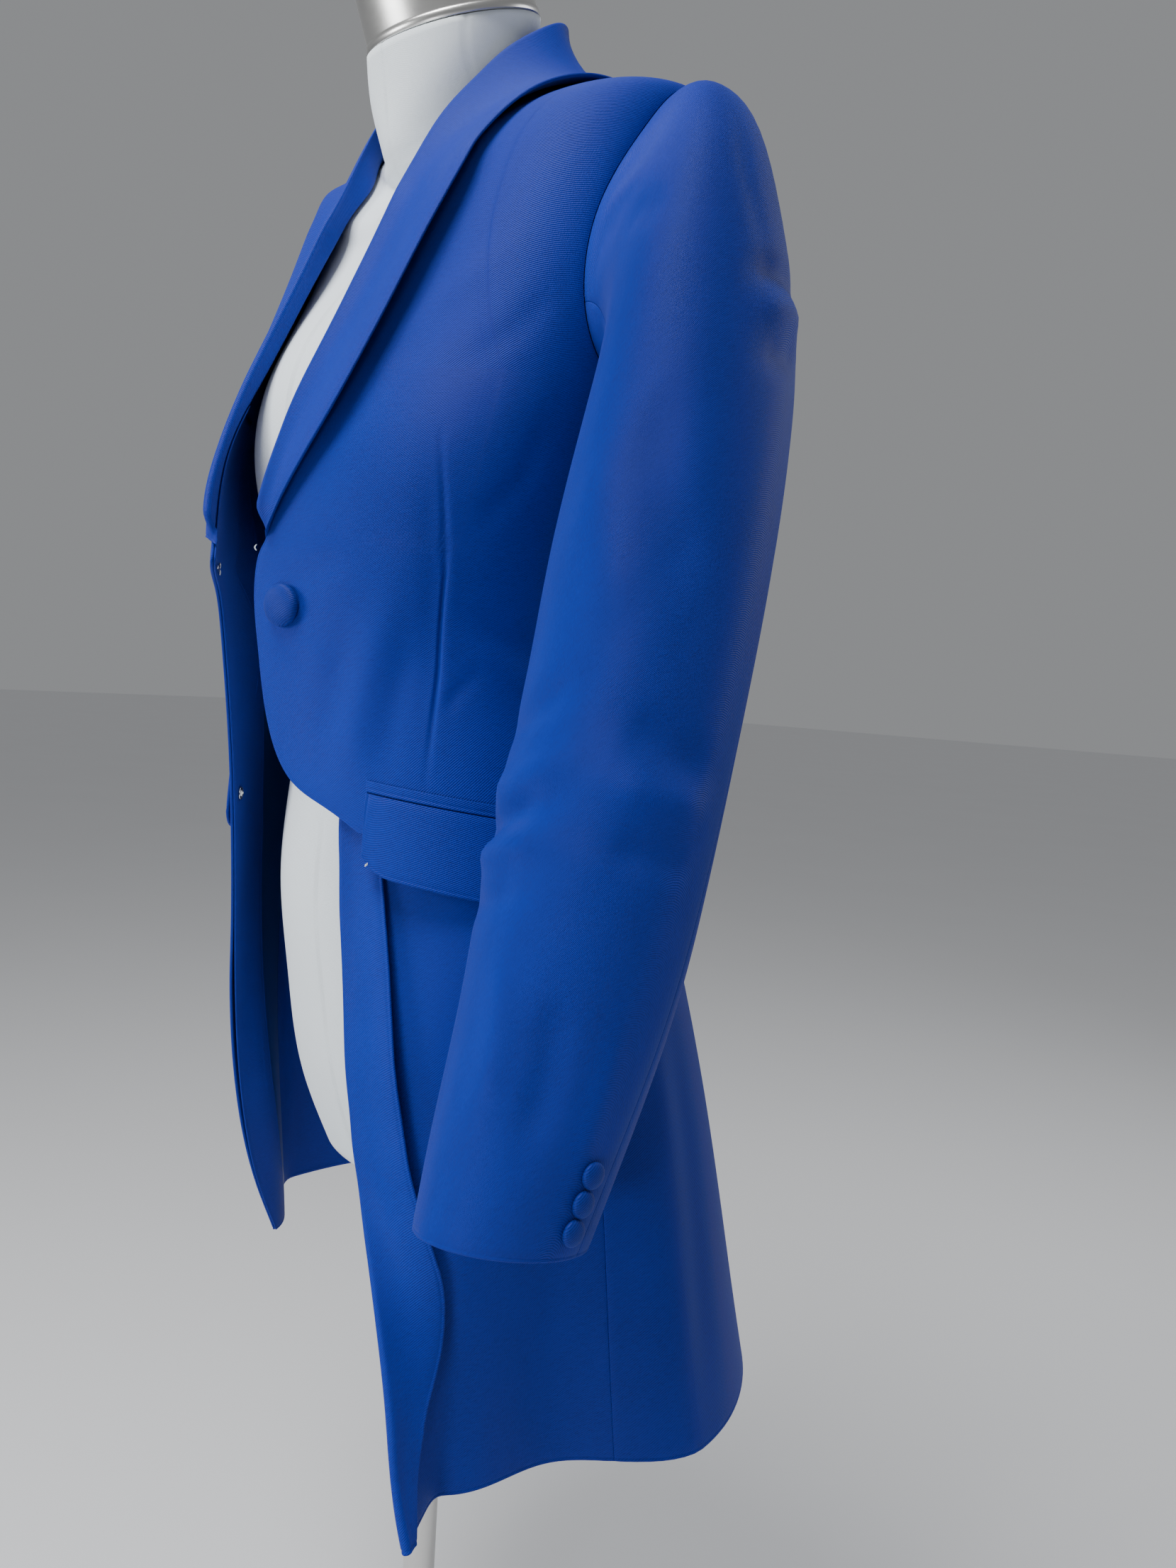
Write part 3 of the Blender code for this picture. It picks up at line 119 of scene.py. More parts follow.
# Armhole: angle round it from the shoulder tip towards the front, turn, level
ARMHOLE = (
    (0, 90.0, 0.350),
    (45, 79.0, 0.312),
    (90, 73.5, 0.255),
    (135, 77.0, 0.198),
    (180, 92.0, 0.168),
    (225, 112.0, 0.190),
    (270, 124.0, 0.255),
    (315, 112.0, 0.322),
)
HOLE_CENTRE = np.array((97.0, 0.260))
HOLE_GAP = 0.001  # share by which a sleeve starts inside its armhole
JOIN_LENGTH = 0.30  # share of a sleeve over which the armhole's shape fades out
ARMPIT_LEVEL = 0.168
POCKET_LEVEL = -0.120  # where the left front's skirt part is joined, under the flap

# Left front edge from under the flap up to the break: distance from the
# centre front, level
LEFT_EDGE = (
    (0.113, -0.106),
    (0.096, -0.096),
    (0.080, -0.089),
    (0.064, -0.081),
    (0.051, -0.069),
    (0.041, -0.053),
    (0.031, -0.023),
    (0.026, 0.005),
    (0.023, 0.034),
    (0.027, 0.058),
)
# Right front edge from the hem up to the break: the unfastened front hangs
# back and shows its inside
RIGHT_EDGE = (
    (0.146, -0.480),
    (0.136, -0.400),
    (0.124, -0.300),
    (0.106, -0.200),
    (0.086, -0.110),
    (0.073, -0.030),
    (0.064, 0.015),
    (0.046, 0.044),
    (0.027, 0.058),
)
# Side seam: level, turn
SIDE_SEAM = (
    (-0.500, 80.0),
    (-0.250, 82.0),
    (-0.100, 85.0),
    (0.000, 88.0),
    (0.168, 92.0),
)
# Hem of the coat: turn, level
HEM = (
    (0.0, -0.476),
    (40.0, -0.478),
    (80.0, -0.480),
    (130.0, -0.480),
    (180.0, -0.480),
)

# Left skirt: level, x and y of its front fold, turn where it bends away from
# the coat's round, width of the band turned back over it from the fold, how
# far the band's free edge stands off
LEFT_SKIRT = (
    (-0.4800, 0.227, -0.1660, 54.0, 0.0090, 0.0045),
    (-0.4500, 0.212, -0.1650, 55.0, 0.0180, 0.0055),
    (-0.4200, 0.202, -0.1630, 56.0, 0.0270, 0.0070),
    (-0.3950, 0.192, -0.1610, 56.0, 0.0350, 0.0090),
    (-0.3600, 0.174, -0.1570, 54.0, 0.0405, 0.0110),
    (-0.3260, 0.152, -0.1500, 50.0, 0.0400, 0.0120),
    (-0.2590, 0.128, -0.1470, 45.0, 0.0390, 0.0125),
    (-0.1970, 0.113, -0.1440, 42.5, 0.0360, 0.0100),
    (-0.1270, 0.098, -0.1405, 40.0, 0.0300, 0.0055),
    (-0.0920, 0.092, -0.1380, 39.5, 0.0260, 0.0045),
)
FOLD_MARGIN = 8.0 * MM  # from a fold's crest to the border of the panel behind it

# Collar from the break to the centre back: turn and level of the neck seam
# under it; x, y and z of the crest of its roll; turn, level and stand-off of
# its outer edge
COLLAR = (
    (12.5, 0.068, 0.0270, -0.1680, 0.0660, 14.0, 0.071, 0.0045),
    (14.5, 0.090, 0.0345, -0.1680, 0.0900, 19.0, 0.092, 0.0065),
    (16.0, 0.130, 0.0385, -0.1580, 0.1300, 26.5, 0.127, 0.0100),
    (17.6, 0.168, 0.0400, -0.1440, 0.1660, 32.0, 0.165, 0.0130),
    (19.4, 0.215, 0.0415, -0.1250, 0.2060, 36.5, 0.212, 0.0140),
    (20.9, 0.265, 0.0410, -0.1040, 0.2500, 41.0, 0.262, 0.0135),
    (21.9, 0.315, 0.0405, -0.0860, 0.2900, 46.0, 0.315, 0.0110),
    (23.9, 0.360, 0.0410, -0.0680, 0.3250, 53.0, 0.352, 0.0070),
    (27.2, 0.400, 0.0450, -0.0540, 0.3520, 62.0, 0.374, 0.0070),
    (34.0, 0.427, 0.0560, -0.0360, 0.3790, 72.0, 0.388, 0.0062),
    (52.0, 0.446, 0.0670, -0.0160, 0.4040, 82.0, 0.397, 0.0040),
    (90.0, 0.466, 0.0725, 0.0110, 0.4255, 97.0, 0.416, 0.0040),
    (120.0, 0.468, 0.0655, 0.0300, 0.4365, 112.0, 0.430, 0.0040),
    (148.0, 0.466, 0.0430, 0.0500, 0.4440, 138.0, 0.444, 0.0040),
    (180.0, 0.464, 0.0000, 0.0640, 0.4470, 180.0, 0.450, 0.0040),
)
RIGHT_STAND_OFF = 0.2  # the right lapel lies flatter, by this share
BREAK_LEVELS = (0.100, 0.190)  # up to these the crest follows the front it lies on
SHOULDER_ROW = 11  # the row of COLLAR at the shoulder seam
LEAST_STAND_OFF = 4.8 * MM
FOLD = 3.0 * MM  # outer radius of a folded edge
BOW = 0.36  # roundness of a turned-back part, as a share of its width
COLLAR_WALL = 2.0 * MM

# Sleeve sections: x and z of the outer side, x and z of the inner side,
# y of the middle, half width from front to back, how far the section is
# swung to the front in degrees, rise of the front
SLEEVE_LEFT = (
    (0.192, 0.357, 0.172, 0.170, 0.035, 0.062, 0.0, 0.00),
    (0.206, 0.357, 0.178, 0.168, 0.034, 0.063, 0.0, 0.00),
    (0.222, 0.345, 0.182, 0.162, 0.033, 0.065, 2.0, 0.00),
    (0.235, 0.318, 0.182, 0.150, 0.031, 0.067, 5.0, 0.00),
    (0.245, 0.270, 0.179, 0.128, 0.027, 0.070, 9.0, 0.00),
    (0.253, 0.200, 0.174, 0.100, 0.020, 0.073, 13.0, 0.00),
    (0.259, 0.110, 0.170, 0.050, 0.006, 0.074, 17.0, 0.00),
    (0.264, 0.010, 0.173, -0.015, -0.014, 0.071, 20.0, 0.03),
    (0.270, -0.090, 0.182, -0.100, -0.043, 0.069, 21.0, 0.08),
    (0.275, -0.190, 0.197, -0.195, -0.076, 0.063, 21.0, 0.13),
    (0.275, -0.260, 0.204, -0.263, -0.103, 0.056, 20.0, 0.17),
    (0.274, -0.309, 0.208, -0.311, -0.121, 0.050, 19.0, 0.19),
)
SLEEVE_RIGHT = SLEEVE_LEFT[:6] + (
    (0.259, 0.110, 0.170, 0.050, 0.025, 0.073, 13.0, 0.00),
    (0.262, 0.010, 0.173, -0.015, 0.032, 0.069, 11.0, 0.00),
    (0.264, -0.090, 0.180, -0.100, 0.038, 0.063, 9.0, 0.02),
    (0.270, -0.190, 0.194, -0.195, 0.041, 0.057, 8.0, 0.03),
    (0.275, -0.260, 0.206, -0.263, 0.042, 0.053, 7.0, 0.04),
    (0.279, -0.309, 0.215, -0.311, 0.042, 0.050, 6.0, 0.05),
)
SLEEVES = {LEFT: SLEEVE_LEFT, RIGHT: SLEEVE_RIGHT}
FRONT_SEAM = 126  # angle round the sleeve of its front seam, from the outer side
BACK_SEAM = (270, 318)  # angle of its back seam, at the armhole and the cuff

# Pocket flap and welt on either front: turns of the front and back ends,
# levels of the top and bottom at each, radius of the lower corner in degrees
FLAP = (42.0, 78.0, -0.0820, -0.0990, -0.1280, -0.1520, 6.0)
WELT = (42.0, 78.0, -0.0745, -0.0905, -0.0812, -0.0982)

FACING_WIDTH = 74.0 * MM  # facing inside the right front's edge
FACING_SHARE = 0.6  # the facing takes at most this share of the front's width
LINING_REACH = 0.97  # share of the right front that the facing and lining cover
LINING_FOOT, LINING_TOP = 8 * MM, 0.0  # how far over the hem the lining starts, and its top level
FRONT_BUTTON = (0.051, 0.027, 0.0130, 0.0075)  # x, level, radius, height
CUFF_BUTTON = (0.0075, 0.0045)  # radius, height
BUTTON_TURN = 16  # degrees from the back seam to the buttons
CUFF_PLACES = (0.0470, 0.0315, 0.0160)  # distances from the hem
CUFF_TOP = 0.8  # place down the sleeve from which the cuff is measured
HOOK_LEVEL = 0.052
SNAP = (-0.105, 0.012, 0.0020)  # level, distance from the edge, height

# Stand: radius and height of the foot, radius of the pole, cap on the neck
REST_GAP = 2.4 * MM  # between the form's shoulders and the coat
SET_BACK = 0.024  # the pole stands this far behind the middle of the coat's tables
FOOT_RADIUS, FOOT_HEIGHT = 0.190, 0.028
POLE_RADIUS = 0.0125
CAP_RADIUS, CAP_HEIGHT = 0.0605, 0.066
CAP_CENTRE = (0.0, -0.0115, 0.4306)
CAP_TILT = 22.5  # degrees by which the cap leans to the front

# Steps over which a face's slope is read: degrees, metres, share of a sleeve
SLOPE_TURN, SLOPE_LEVEL, SLOPE_AT = 0.05, 0.0005, 0.002
HALVINGS, FRONT_TURNS = 40, 89.0  # steps of turn_at and the range of turns that it searches
STEP = 4.5 * MM  # between grid lines of the cloth
CLOSE = np.array((0.0, 0.25, 0.7, 1.3, 1.9, 2.3, 2.8, 3.6)) * MM  # grid lines beside a border
SEAM_ROUND = 0.35 * MM  # rounding of the outer face at a seam
DART_ZONE = (0.30, 0.64)  # share of a front's width in which the dart lies
SEAM_GROOVE = (0.35 * MM, 2.6 * MM)  # depth and width of the hollow along a seam
EDGE_GROOVE = (0.30 * MM, 2.3 * MM, 0.6 * MM)  # depth, distance and width of an edge's stitched line
SHOULDER_SHARE = 0.625  # share of a back's top border that is its shoulder seam
SHIFT = np.array((0.0, -SET_BACK, 0.0))
TURN_METRES = (0.003, 1.0)  # metres of a degree of turn and of a metre of level
HANDS = ((LEFT, "left"), (RIGHT, "right"))
SIDE_TURN = 80.0  # turn at which the hem's level is read for the side seam
# Rough sizes of the pieces, which set the number of their grid lines
FRONT_WIDTH, FRONT_RISE = 0.230, 0.230
BACK_WIDTH, BACK_RISE = 0.300, 0.260
SKIRT_WIDTH, SKIRT_HEIGHT = 0.260, 0.360
BAND_HEIGHT, BAND_STEP = 0.390, 3.0 * MM
BAND_SPLITS, COLLAR_SPLITS = (5, 12, 0.034), (6, 12, 0.050)
COLLAR_LENGTH, COLLAR_STEP = 0.560, 4.0 * MM
FACING_SPAN, LINING_SPAN = 0.074, 0.130
TOP_WIDTH, UNDER_WIDTH = 0.215, 0.150
FLAP_WIDTH, FLAP_HEIGHT, FLAP_STEP = 0.112, 0.050, 2.5 * MM
WELT_HEIGHT, WELT_STEP = 0.0075, 1.0 * MM
FORM_RINGS, FORM_SIDES = 170, 144
BUTTON_SIDES, SNAP_SIDES, CAP_SIDES, POLE_SIDES, FOOT_SIDES = 64, 96, 128, 64, 160
SAME_PLACE = 0.02 * MM  # points nearer than this become one at a turned piece's poles

# Soft creases of the coat's body: the turns and levels they run through, width,
# depth (outward is positive) and the hand they are on, or 0 for both
COAT_CREASES = (
    (((51, 0.130), (54.5, 0.082), (56, 0.052), (56, 0.022), (56, -0.008), (55, -0.038), (53.5, -0.076)),
     1.2, -2.2, 0),
    (((52.5, 0.125), (57.5, 0.050), (57.5, -0.008), (55.5, -0.060)), 5.0, 0.4, 0),
    (((49, 0.125), (54, 0.050), (54, -0.008), (52, -0.060)), 9.0, -0.9, 0),
    (((57, -0.032), (61, -0.018), (66, -0.004)), 4.0, -0.9, 1),
    (((36, -0.080), (38.5, -0.040), (41, -0.005), (45, 0.045)), 13.0, 2.0, 1),
    (((31, -0.060), (33, -0.028), (35, 0.008)), 12.0, -1.6, 1),
    (((45, -0.074), (47, -0.030), (50, 0.014)), 10.0, -1.4, 1),
    (((42, 0.090), (54, 0.091), (66, 0.087)), 1.2, -0.35, 1),
    (((14, 0.020), (24, 0.000), (34, -0.012)), 9.0, 1.0, 1),
    (((12, 0.046), (24, 0.044), (36, 0.058)), 8.0, -0.9, 1),
    (((60, 0.030), (72, 0.012), (84, 0.008)), 7.0, -1.1, 1),
    (((62, 0.012), (74, -0.010), (86, -0.012)), 8.0, 1.2, 1),
    (((61, 0.075), (70, 0.110), (74, 0.150)), 8.0, -1.0, 1),
    (((36, 0.180), (46, 0.215), (58, 0.240)), 10.0, 0.9, 1),
    (((52, 0.170), (62, 0.190), (70, 0.215)), 8.0, -0.9, 1),
    (((97, -0.200), (95, -0.280), (92, -0.366), (90, -0.470)), 9.0, 2.6, 1),
    (((103, -0.220), (101, -0.300), (97.5, -0.390), (95, -0.470)), 8.0, -1.6, 1),
    (((84, -0.180), (84.5, -0.290), (83.5, -0.390), (83, -0.470)), 9.0, -1.5, 1),
    (((72, -0.200), (72, -0.300), (70, -0.420)), 11.0, 1.3, 1),
    (((62, -0.290), (62, -0.380), (61, -0.450)), 8.0, -1.0, 1),
    (((100, 0.020), (118, 0.006), (136, 0.010)), 8.0, -1.3, 1),
    (((104, 0.036), (122, 0.028), (142, 0.034)), 9.0, 1.1, 1),
    (((128, 0.210), (140, 0.190), (152, 0.160)), 9.0, -1.1, 1),
    (((132, 0.250), (146, 0.246), (160, 0.230)), 11.0, 1.0, 1),
    (((150, 0.000), (148, -0.120), (146, -0.260), (146, -0.430)), 16.0, 2.4, 0),
    (((163, -0.060), (162, -0.200), (161, -0.420)), 12.0, -2.0, 0),
    (((128, -0.080), (126, -0.220), (124, -0.420)), 14.0, -1.9, 0),
    (((40, 0.020), (54, 0.004), (70, 0.010)), 8.0, -1.2, -1),
    (((42, 0.036), (58, 0.026), (76, 0.030)), 9.0, 1.1, -1),
    (((55, 0.185), (63, 0.200), (71, 0.222)), 8.0, -1.0, -1),
    (((98, 0.024), (114, 0.010), (133, 0.006)), 9.0, -1.2, -1),
    (((131, 0.222), (143, 0.196), (150, 0.170)), 9.0, -1.2, -1),
    (((104, -0.190), (104, -0.300), (106, -0.460)), 11.0, 2.2, -1),
    (((92, -0.160), (91, -0.290), (90, -0.450)), 10.0, -1.7, -1),
    (((50, -0.180), (52, -0.300), (54, -0.450)), 14.0, 1.8, -1),
    (((66, -0.200), (68, -0.320), (69, -0.460)), 11.0, -1.6, -1),
)
# Soft creases of the sleeves: places down the sleeve (0 to 1) and angles round
# it, width, depth and hand
SLEEVE_CREASES = (
    (((0.040, 116), (0.085, 100), (0.150, 84)), 9.0, -1.0, 0),
    (((0.030, 96), (0.080, 84), (0.150, 66)), 7.0, 1.5, 0),
    (((0.015, 72), (0.060, 64), (0.120, 50)), 7.0, -1.6, 1),
    (((0.170, 78), (0.200, 64), (0.240, 48)), 8.0, -1.4, 1),
    (((0.170, 6), (0.230, 0), (0.290, -16)), 5.0, -1.2, 1),
    (((0.300, -6), (0.285, -28), (0.258, -56)), 5.5, -4.6, 1),
    (((0.322, -10), (0.308, -32), (0.285, -58)), 6.0, 3.5, 1),
    (((0.345, -16), (0.335, -36), (0.315, -58)), 5.5, -3.5, 1),
    (((0.640, 118), (0.632, 92), (0.618, 66), (0.612, 48)), 6.5, -5.4, 1),
    (((0.662, 110), (0.654, 82), (0.640, 46)), 8.0, 4.1, 1),
    (((0.604, 108), (0.596, 78), (0.578, 44)), 8.0, 3.5, 1),
    (((0.556, 110), (0.546, 78), (0.526, 44)), 8.0, -3.5, 1),
    (((0.706, 112), (0.698, 84), (0.684, 52)), 8.0, -3.2, 1),
    (((0.580, -34), (0.566, -8), (0.548, 22)), 9.0, -3.2, 1),
    (((0.612, -38), (0.602, -8), (0.590, 24)), 9.0, 3.5, 1),
    (((0.650, -36), (0.646, -10), (0.640, 18)), 9.0, -2.7, 1),
    (((0.380, 70), (0.440, 52), (0.500, 30)), 16.0, 3.0, 1),
    (((0.360, 40), (0.430, 20), (0.480, -4)), 15.0, -3.0, 1),
    (((0.740, 60), (0.800, 52), (0.880, 48)), 12.0, 2.7, 1),
    (((0.760, 24), (0.830, 18), (0.910, 18)), 12.0, -2.7, 1),
    (((0.780, -12), (0.860, -16), (0.950, -14)), 9.0, 1.4, 1),
    (((0.225, 150), (0.235, 180), (0.230, 212)), 7.0, -2.2, 0),
    (((0.180, 152), (0.185, 180), (0.180, 214)), 8.0, 1.6, 0),
    (((0.610, 132), (0.616, 170), (0.612, 210)), 7.0, -2.4, 0),
    (((0.660, 136), (0.668, 176), (0.664, 216)), 8.0, 1.8, 0),
    (((0.290, -20), (0.282, -36), (0.265, -56)), 5.5, -1.5, -1),
    (((0.610, 104), (0.606, 80), (0.596, 54)), 6.0, -2.0, -1),
    (((0.570, 100), (0.566, 76), (0.556, 50)), 8.0, 1.5, -1),
    (((0.400, 60), (0.460, 40), (0.520, 26)), 14.0, 1.3, -1),
    (((0.770, 40), (0.840, 32), (0.920, 30)), 12.0, -1.2, -1),
)
DART_ROWS = 3  # the first rows of COAT_CREASES, which are the dart's
LINE_END, LEAST_LINE = 0.3, 0.25  # share of a crease that fades at either end, and what is left there
BREAK_LENGTH = 0.022  # stretch over which the collar flattens into the front
SLEEVE_LENGTH, SLEEVE_DEGREE = 0.640, 0.00115  # metres of the sleeve's length and of a degree round it
# Left skirt: its rows bend to the pocket over these turns, and their hidden
# front is tucked in by a depth, over these turns and down these levels
SKIRT_TOP_TURNS = (50, 62)
TUCK, TUCK_TURNS, TUCK_LEVELS = 9 * MM, (52, 72), (0.135, 0.250)
SKIRT_POINTS, LIP_POINTS, SOFTENINGS = 80, 16, 12  # of a row: points behind and in front of the bend, passes
CREST_FOLLOW = 1.3  # the collar's crest moves with its front by this much more
FOOT_LEAN = 0.3  # how far the hidden foot of a turned-over cloth leans out
BAND_WAVES = (0.5 * MM, 41.0, 1.5, 13.0)  # height, pace, wander and its pace
COLLAR_WAVES = (0.35 * MM, 23.0)  # height and pace
EDGE_ROUND = 0.45  # rounding of an edge, as a share of its wall
JOINT_SHARE = 0.03  # share of a sleeve over which it meets the coat's slope
FADE_IN = (0.030, 0.080)  # metres from the band over which skirt creases begin

# Covered button: rim's share of the height and fullness of its dome, points
# under it as shares of the radius and rim, depth and number of its gathers
BUTTON_RIM, BUTTON_DOME = 0.25, 0.85
BUTTON_UNDER = ((0.985, 0.6), (0.94, 0.25), (0.86, 0.0), (0.0, 0.0))
BUTTON_GATHERS = (0.010, 23)
# Pockets: gap over the coat, how far the flap's lower edge stands off, height
# and pace of its waver, how much its front corner is rounded up
POCKET_GAP, FLAP_STAND_OFF = 0.7 * MM, 2.0 * MM
FLAP_WAVER = (0.6 * MM, 9.0, 0.6)
CORNER_RISE = 0.012
# Snap: radius and share of the height down its profile; depth, angle and inner
# radius of its four notches; stitches' rise, start, reach, gap and thickness
SNAP_PROFILE = (
    (0.0, 0.35), (0.0011, 0.35), (0.0013, 0.9), (0.0016, 1.0), (0.0021, 1.0), (0.0024, 0.75), (0.0027, 0.45),
    (0.0040, 0.40), (0.0044, 0.52), (0.0048, 0.50), (0.0050, 0.35), (0.0050, 0.1), (0.0048, 0.0), (0.0, 0.0),
)
SNAP_NOTCH = (0.0005, 0.16, 0.0042)
STITCH_LIFT, STITCH_START, STITCH_REACH, STITCH_GAP = (0.0002, 0.0009), 0.0038, 0.0022, 0.0003
STITCH_RADIUS = 0.00012
# Hook: distance from the edge, radius of its wire and eyes, place of the eyes,
# and its bend: distances toward the edge, up and inward
HOOK_INSET, HOOK_WIRE, HOOK_EYE, EYE_PLACE = 0.010, 0.42 * MM, 1.7 * MM, (-0.003, 0.0022)
HOOK_LIFT, EYE_ARC = 0.5 * MM, 140  # of its wire over the facing; degrees of an eye to either side
HOOK_BEND = (
    (0.004, 0.0008, 0.0), (0.011, 0.0008, 0.0002), (0.0138, 0.0008, 0.0008),
    (0.0138, -0.0008, 0.0008), (0.011, -0.0008, 0.0002), (0.004, -0.0008, 0.0),
)
# White threads: place (x and level), rise, reach, height and radius of the eye
# at the break; place (turn, level, out), size, step, lift and radius of the tack
THREAD_EYE = (0.0265, 0.062)
THREAD_RISE, THREAD_REACH, THREAD_HEIGHT, THREAD_RADIUS = 0.0008, (0.0008, 0.0006), 0.0036, 0.00013
THREAD_LOOPS = (0.6, 1.0, 1.4)
TACK = (43.2, -0.1235, 5.2 * MM)
TACK_SIZE, TACK_STEP, TACK_LIFT, TACK_RADIUS = (0.0016, 0.0012), 0.0005, 0.0003, 0.00016

# Form: levels over which it takes the coat's inside, level of its neck seam and
# fall to the back, its depth and width, turns, depth and width of the long
# seams, metres of a degree
RESTING_FROM, RESTING_TO = (0.340, 0.375), (0.436, 0.456)
NECK_SEAM = (0.462, 0.006)
NECK_GROOVE = (0.8 * MM, 0.0020)
FORM_SEAMS, FORM_GROOVE, FORM_DEGREE = (0, 60, 120, 180, 240, 300), (0.5 * MM, 0.0022), 0.0024
FORM_ROUND = 0.9  # metres round the form that its weave is laid out on
# Cap: drop of its crown, and radius past the cap's and height down its wall
CROWN_DROP = 0.024
CAP_WALL = ((0.0, 0.006), (0.0004, 0.0048), (0.001, 0.0042), (0.001, 0.0004), (0.0006, 0.0))
BEVEL = 0.0005  # of the pole's ends
# Foot: radius and height from the collar of the pole outward, then distance
# from the rim and height round it
FOOT_TOP = ((0.0325, 0.0225), (0.0360, 0.0192), (0.042, 0.0176), (0.060, 0.0160), (0.120, 0.0135))
FOOT_RIM = ((0.010, 0.0110), (0.004, 0.0096), (0.001, 0.0075), (0.0, 0.0055), (0.0, 0.0020), (0.0006, 0.0006),
            (0.002, 0.0))
FOOT_COLLAR = (0.0295, 0.0302, 0.0006)  # radius, radius past its bevel, bevel

# Colours, darkest and lightest, and the plain colours shown where no node is read
CLOTH_TONES = ((0.0008, 0.0050, 0.085), (0.0024, 0.022, 0.310))
BUTTON_TONES = ((0.0008, 0.005, 0.075), (0.0020, 0.020, 0.250))
LINING_TONES = ((0.002, 0.015, 0.080), (0.004, 0.030, 0.150))
LINEN_TONES = ((0.66, 0.71, 0.74), (0.86, 0.92, 0.96))
FLOOR_TONES = ((0.85, 0.85, 0.86), (0.88, 0.88, 0.89))
PLAIN_LINING, PLAIN_LINEN, PLAIN_FLOOR = (0.003, 0.022, 0.120), (0.80, 0.77, 0.70), (0.86, 0.86, 0.87)
WORLD_TONE = (0.92, 0.94, 0.97)
WAVE_PITCH = 2 * pi / 20  # pitch of a band texture at scale 1
TWILL_SLANT = radians(58)
LINING_PITCH = 0.0007
# Metals: slot, colour, roughness, stretch and fineness of the brush marks
METALS = (
    ("stand_metal", (0.66, 0.65, 0.63), 0.30, (1.0, 1.0, 60.0), 60.0),
    ("snap_metal", (0.80, 0.80, 0.80), 0.22, (1.0, 1.0, 1.0), 900.0),
    ("hook_metal", (0.82, 0.82, 0.82), 0.18, (1.0, 1.0, 1.0), 900.0),
)
DULLED = 0.86  # share of a metal's colour in its dull blotches
LIGHTS_AIM = (0.05, -0.02, WAIST)
TWILL_PITCH, LINEN_PITCH = 0.0011, 0.0011  # between the ribs and threads
CAMERA_ANGLES = (45.3, 4.9, 3.4)  # azimuth, elevation and roll in degrees
CAMERA_PLACE = (0.7003, -0.5547, 1.011)
CAMERA_FOCUS, PHOTO_HEIGHT = 1665.0, 2212.0  # focal length and picture height in pixels
SENSOR_HEIGHT, NEAREST = 36.0, 0.05  # in mm, and the nearest distance in view
FLOOR_HALF = 30.0
WORLD_STRENGTH = 0.29
# Soft lights: name, place, size, power, colour
LIGHTS = (
    ("key", (-0.80, -2.00, 1.35), 0.8, 30.0, (0.97, 0.99, 1.0)),
    ("overhead", (0.10, -0.85, 2.75), 0.8, 46.0, (0.98, 0.99, 1.0)),
    ("low", (0.50, -0.80, 0.70), 0.2, 2.0, (0.94, 0.97, 1.0)),
    ("back", (0.9, 2.3, 2.0), 1.2, 16.0, (0.95, 0.97, 1.0)),
)


def spline(at, xs, ys):
    """Natural cubic curve through the points (xs, ys), read at any place."""
    xs, ys = np.asarray(xs, float), np.asarray(ys, float)
    count, gap = len(xs), np.diff(xs)
    slope = np.diff(ys) / gap
    matrix, right = np.eye(count), np.zeros(count)
    for i in range(1, count - 1):
        matrix[i, i - 1:i + 2] = gap[i - 1], 2 * (gap[i - 1] + gap[i]), gap[i]
        right[i] = 6 * (slope[i] - slope[i - 1])
    bend = np.linalg.solve(matrix, right)
    at = np.asarray(at, float)
    k = np.clip(np.searchsorted(xs, at) - 1, 0, count - 2)
    b = (at - xs[k]) / gap[k]
    a = 1 - b
    cubic = (a ** 3 - a) * bend[k] + (b ** 3 - b) * bend[k + 1]
    return a * ys[k] + b * ys[k + 1] + cubic * gap[k] ** 2 / 6


def along(table, at):
    """Rows on a smooth curve through a table's rows, at 0 to 1 of its length."""
    rows = np.asarray(table, float)
    size = np.ptp(rows, axis=0) + 1e-9
    steps = np.linalg.norm(np.diff(rows / size, axis=0), axis=1)
    length = np.r_[0, np.cumsum(steps)] / steps.sum()
    return np.stack([spline(at, length, column) for column in rows.T], -1)


def ease(at, low, high):
    """0 below low, 1 above high, and a smooth rise between."""
    t = np.clip((np.asarray(at, float) - low) / (high - low), 0, 1)
    return t * t * (3 - 2 * t)


def unit(vectors):
    """The vectors at length 1."""
    return vectors / np.linalg.norm(vectors, axis=-1, keepdims=True)


def ring_point(rings, turn, level, hand=LEFT, tilted=False):
    """Points on a surface given by rings; tilted ones end with a flatness."""
    turn, level = np.broadcast_arrays(np.asarray(turn, float), np.asarray(level, float))
    values = [spline(level, rings[:, 0], rings[:, i]) for i in range(1, rings.shape[1])]
    z_front, z_side, z_back, half, y_front, y_side, y_back, sq_front, sq_back = values[:9]
    angle = np.radians(turn)
    s, c = np.abs(np.sin(angle)), np.abs(np.cos(angle))
    front = np.cos(angle) > 0
    depth = np.where(front, y_side - y_front, y_back - y_side)
    square = np.where(front, sq_front, sq_back)
    reach = ((s / half) ** square + (c / depth) ** square) ** (-1 / square)
    last = values[9]
    flatness = last if tilted else 2.0
    drawn = np.sin(pi * np.clip((turn - HOLLOW[0]) / HOLLOW[1], 0, 1)) ** 2
    reach = reach * (1 - (0.0 if tilted else last) * drawn)
    z = z_side + (np.where(front, z_front, z_back) - z_side) * c ** flatness
    return np.stack([
        hand * reach * np.sin(angle),
        y_side - reach * np.cos(angle),
        WAIST + z,
    ], -1)


def coat_point(turn, level, hand=LEFT):
    """Points of the coat's outer face."""
    return ring_point(RINGS[hand], turn, level, hand)


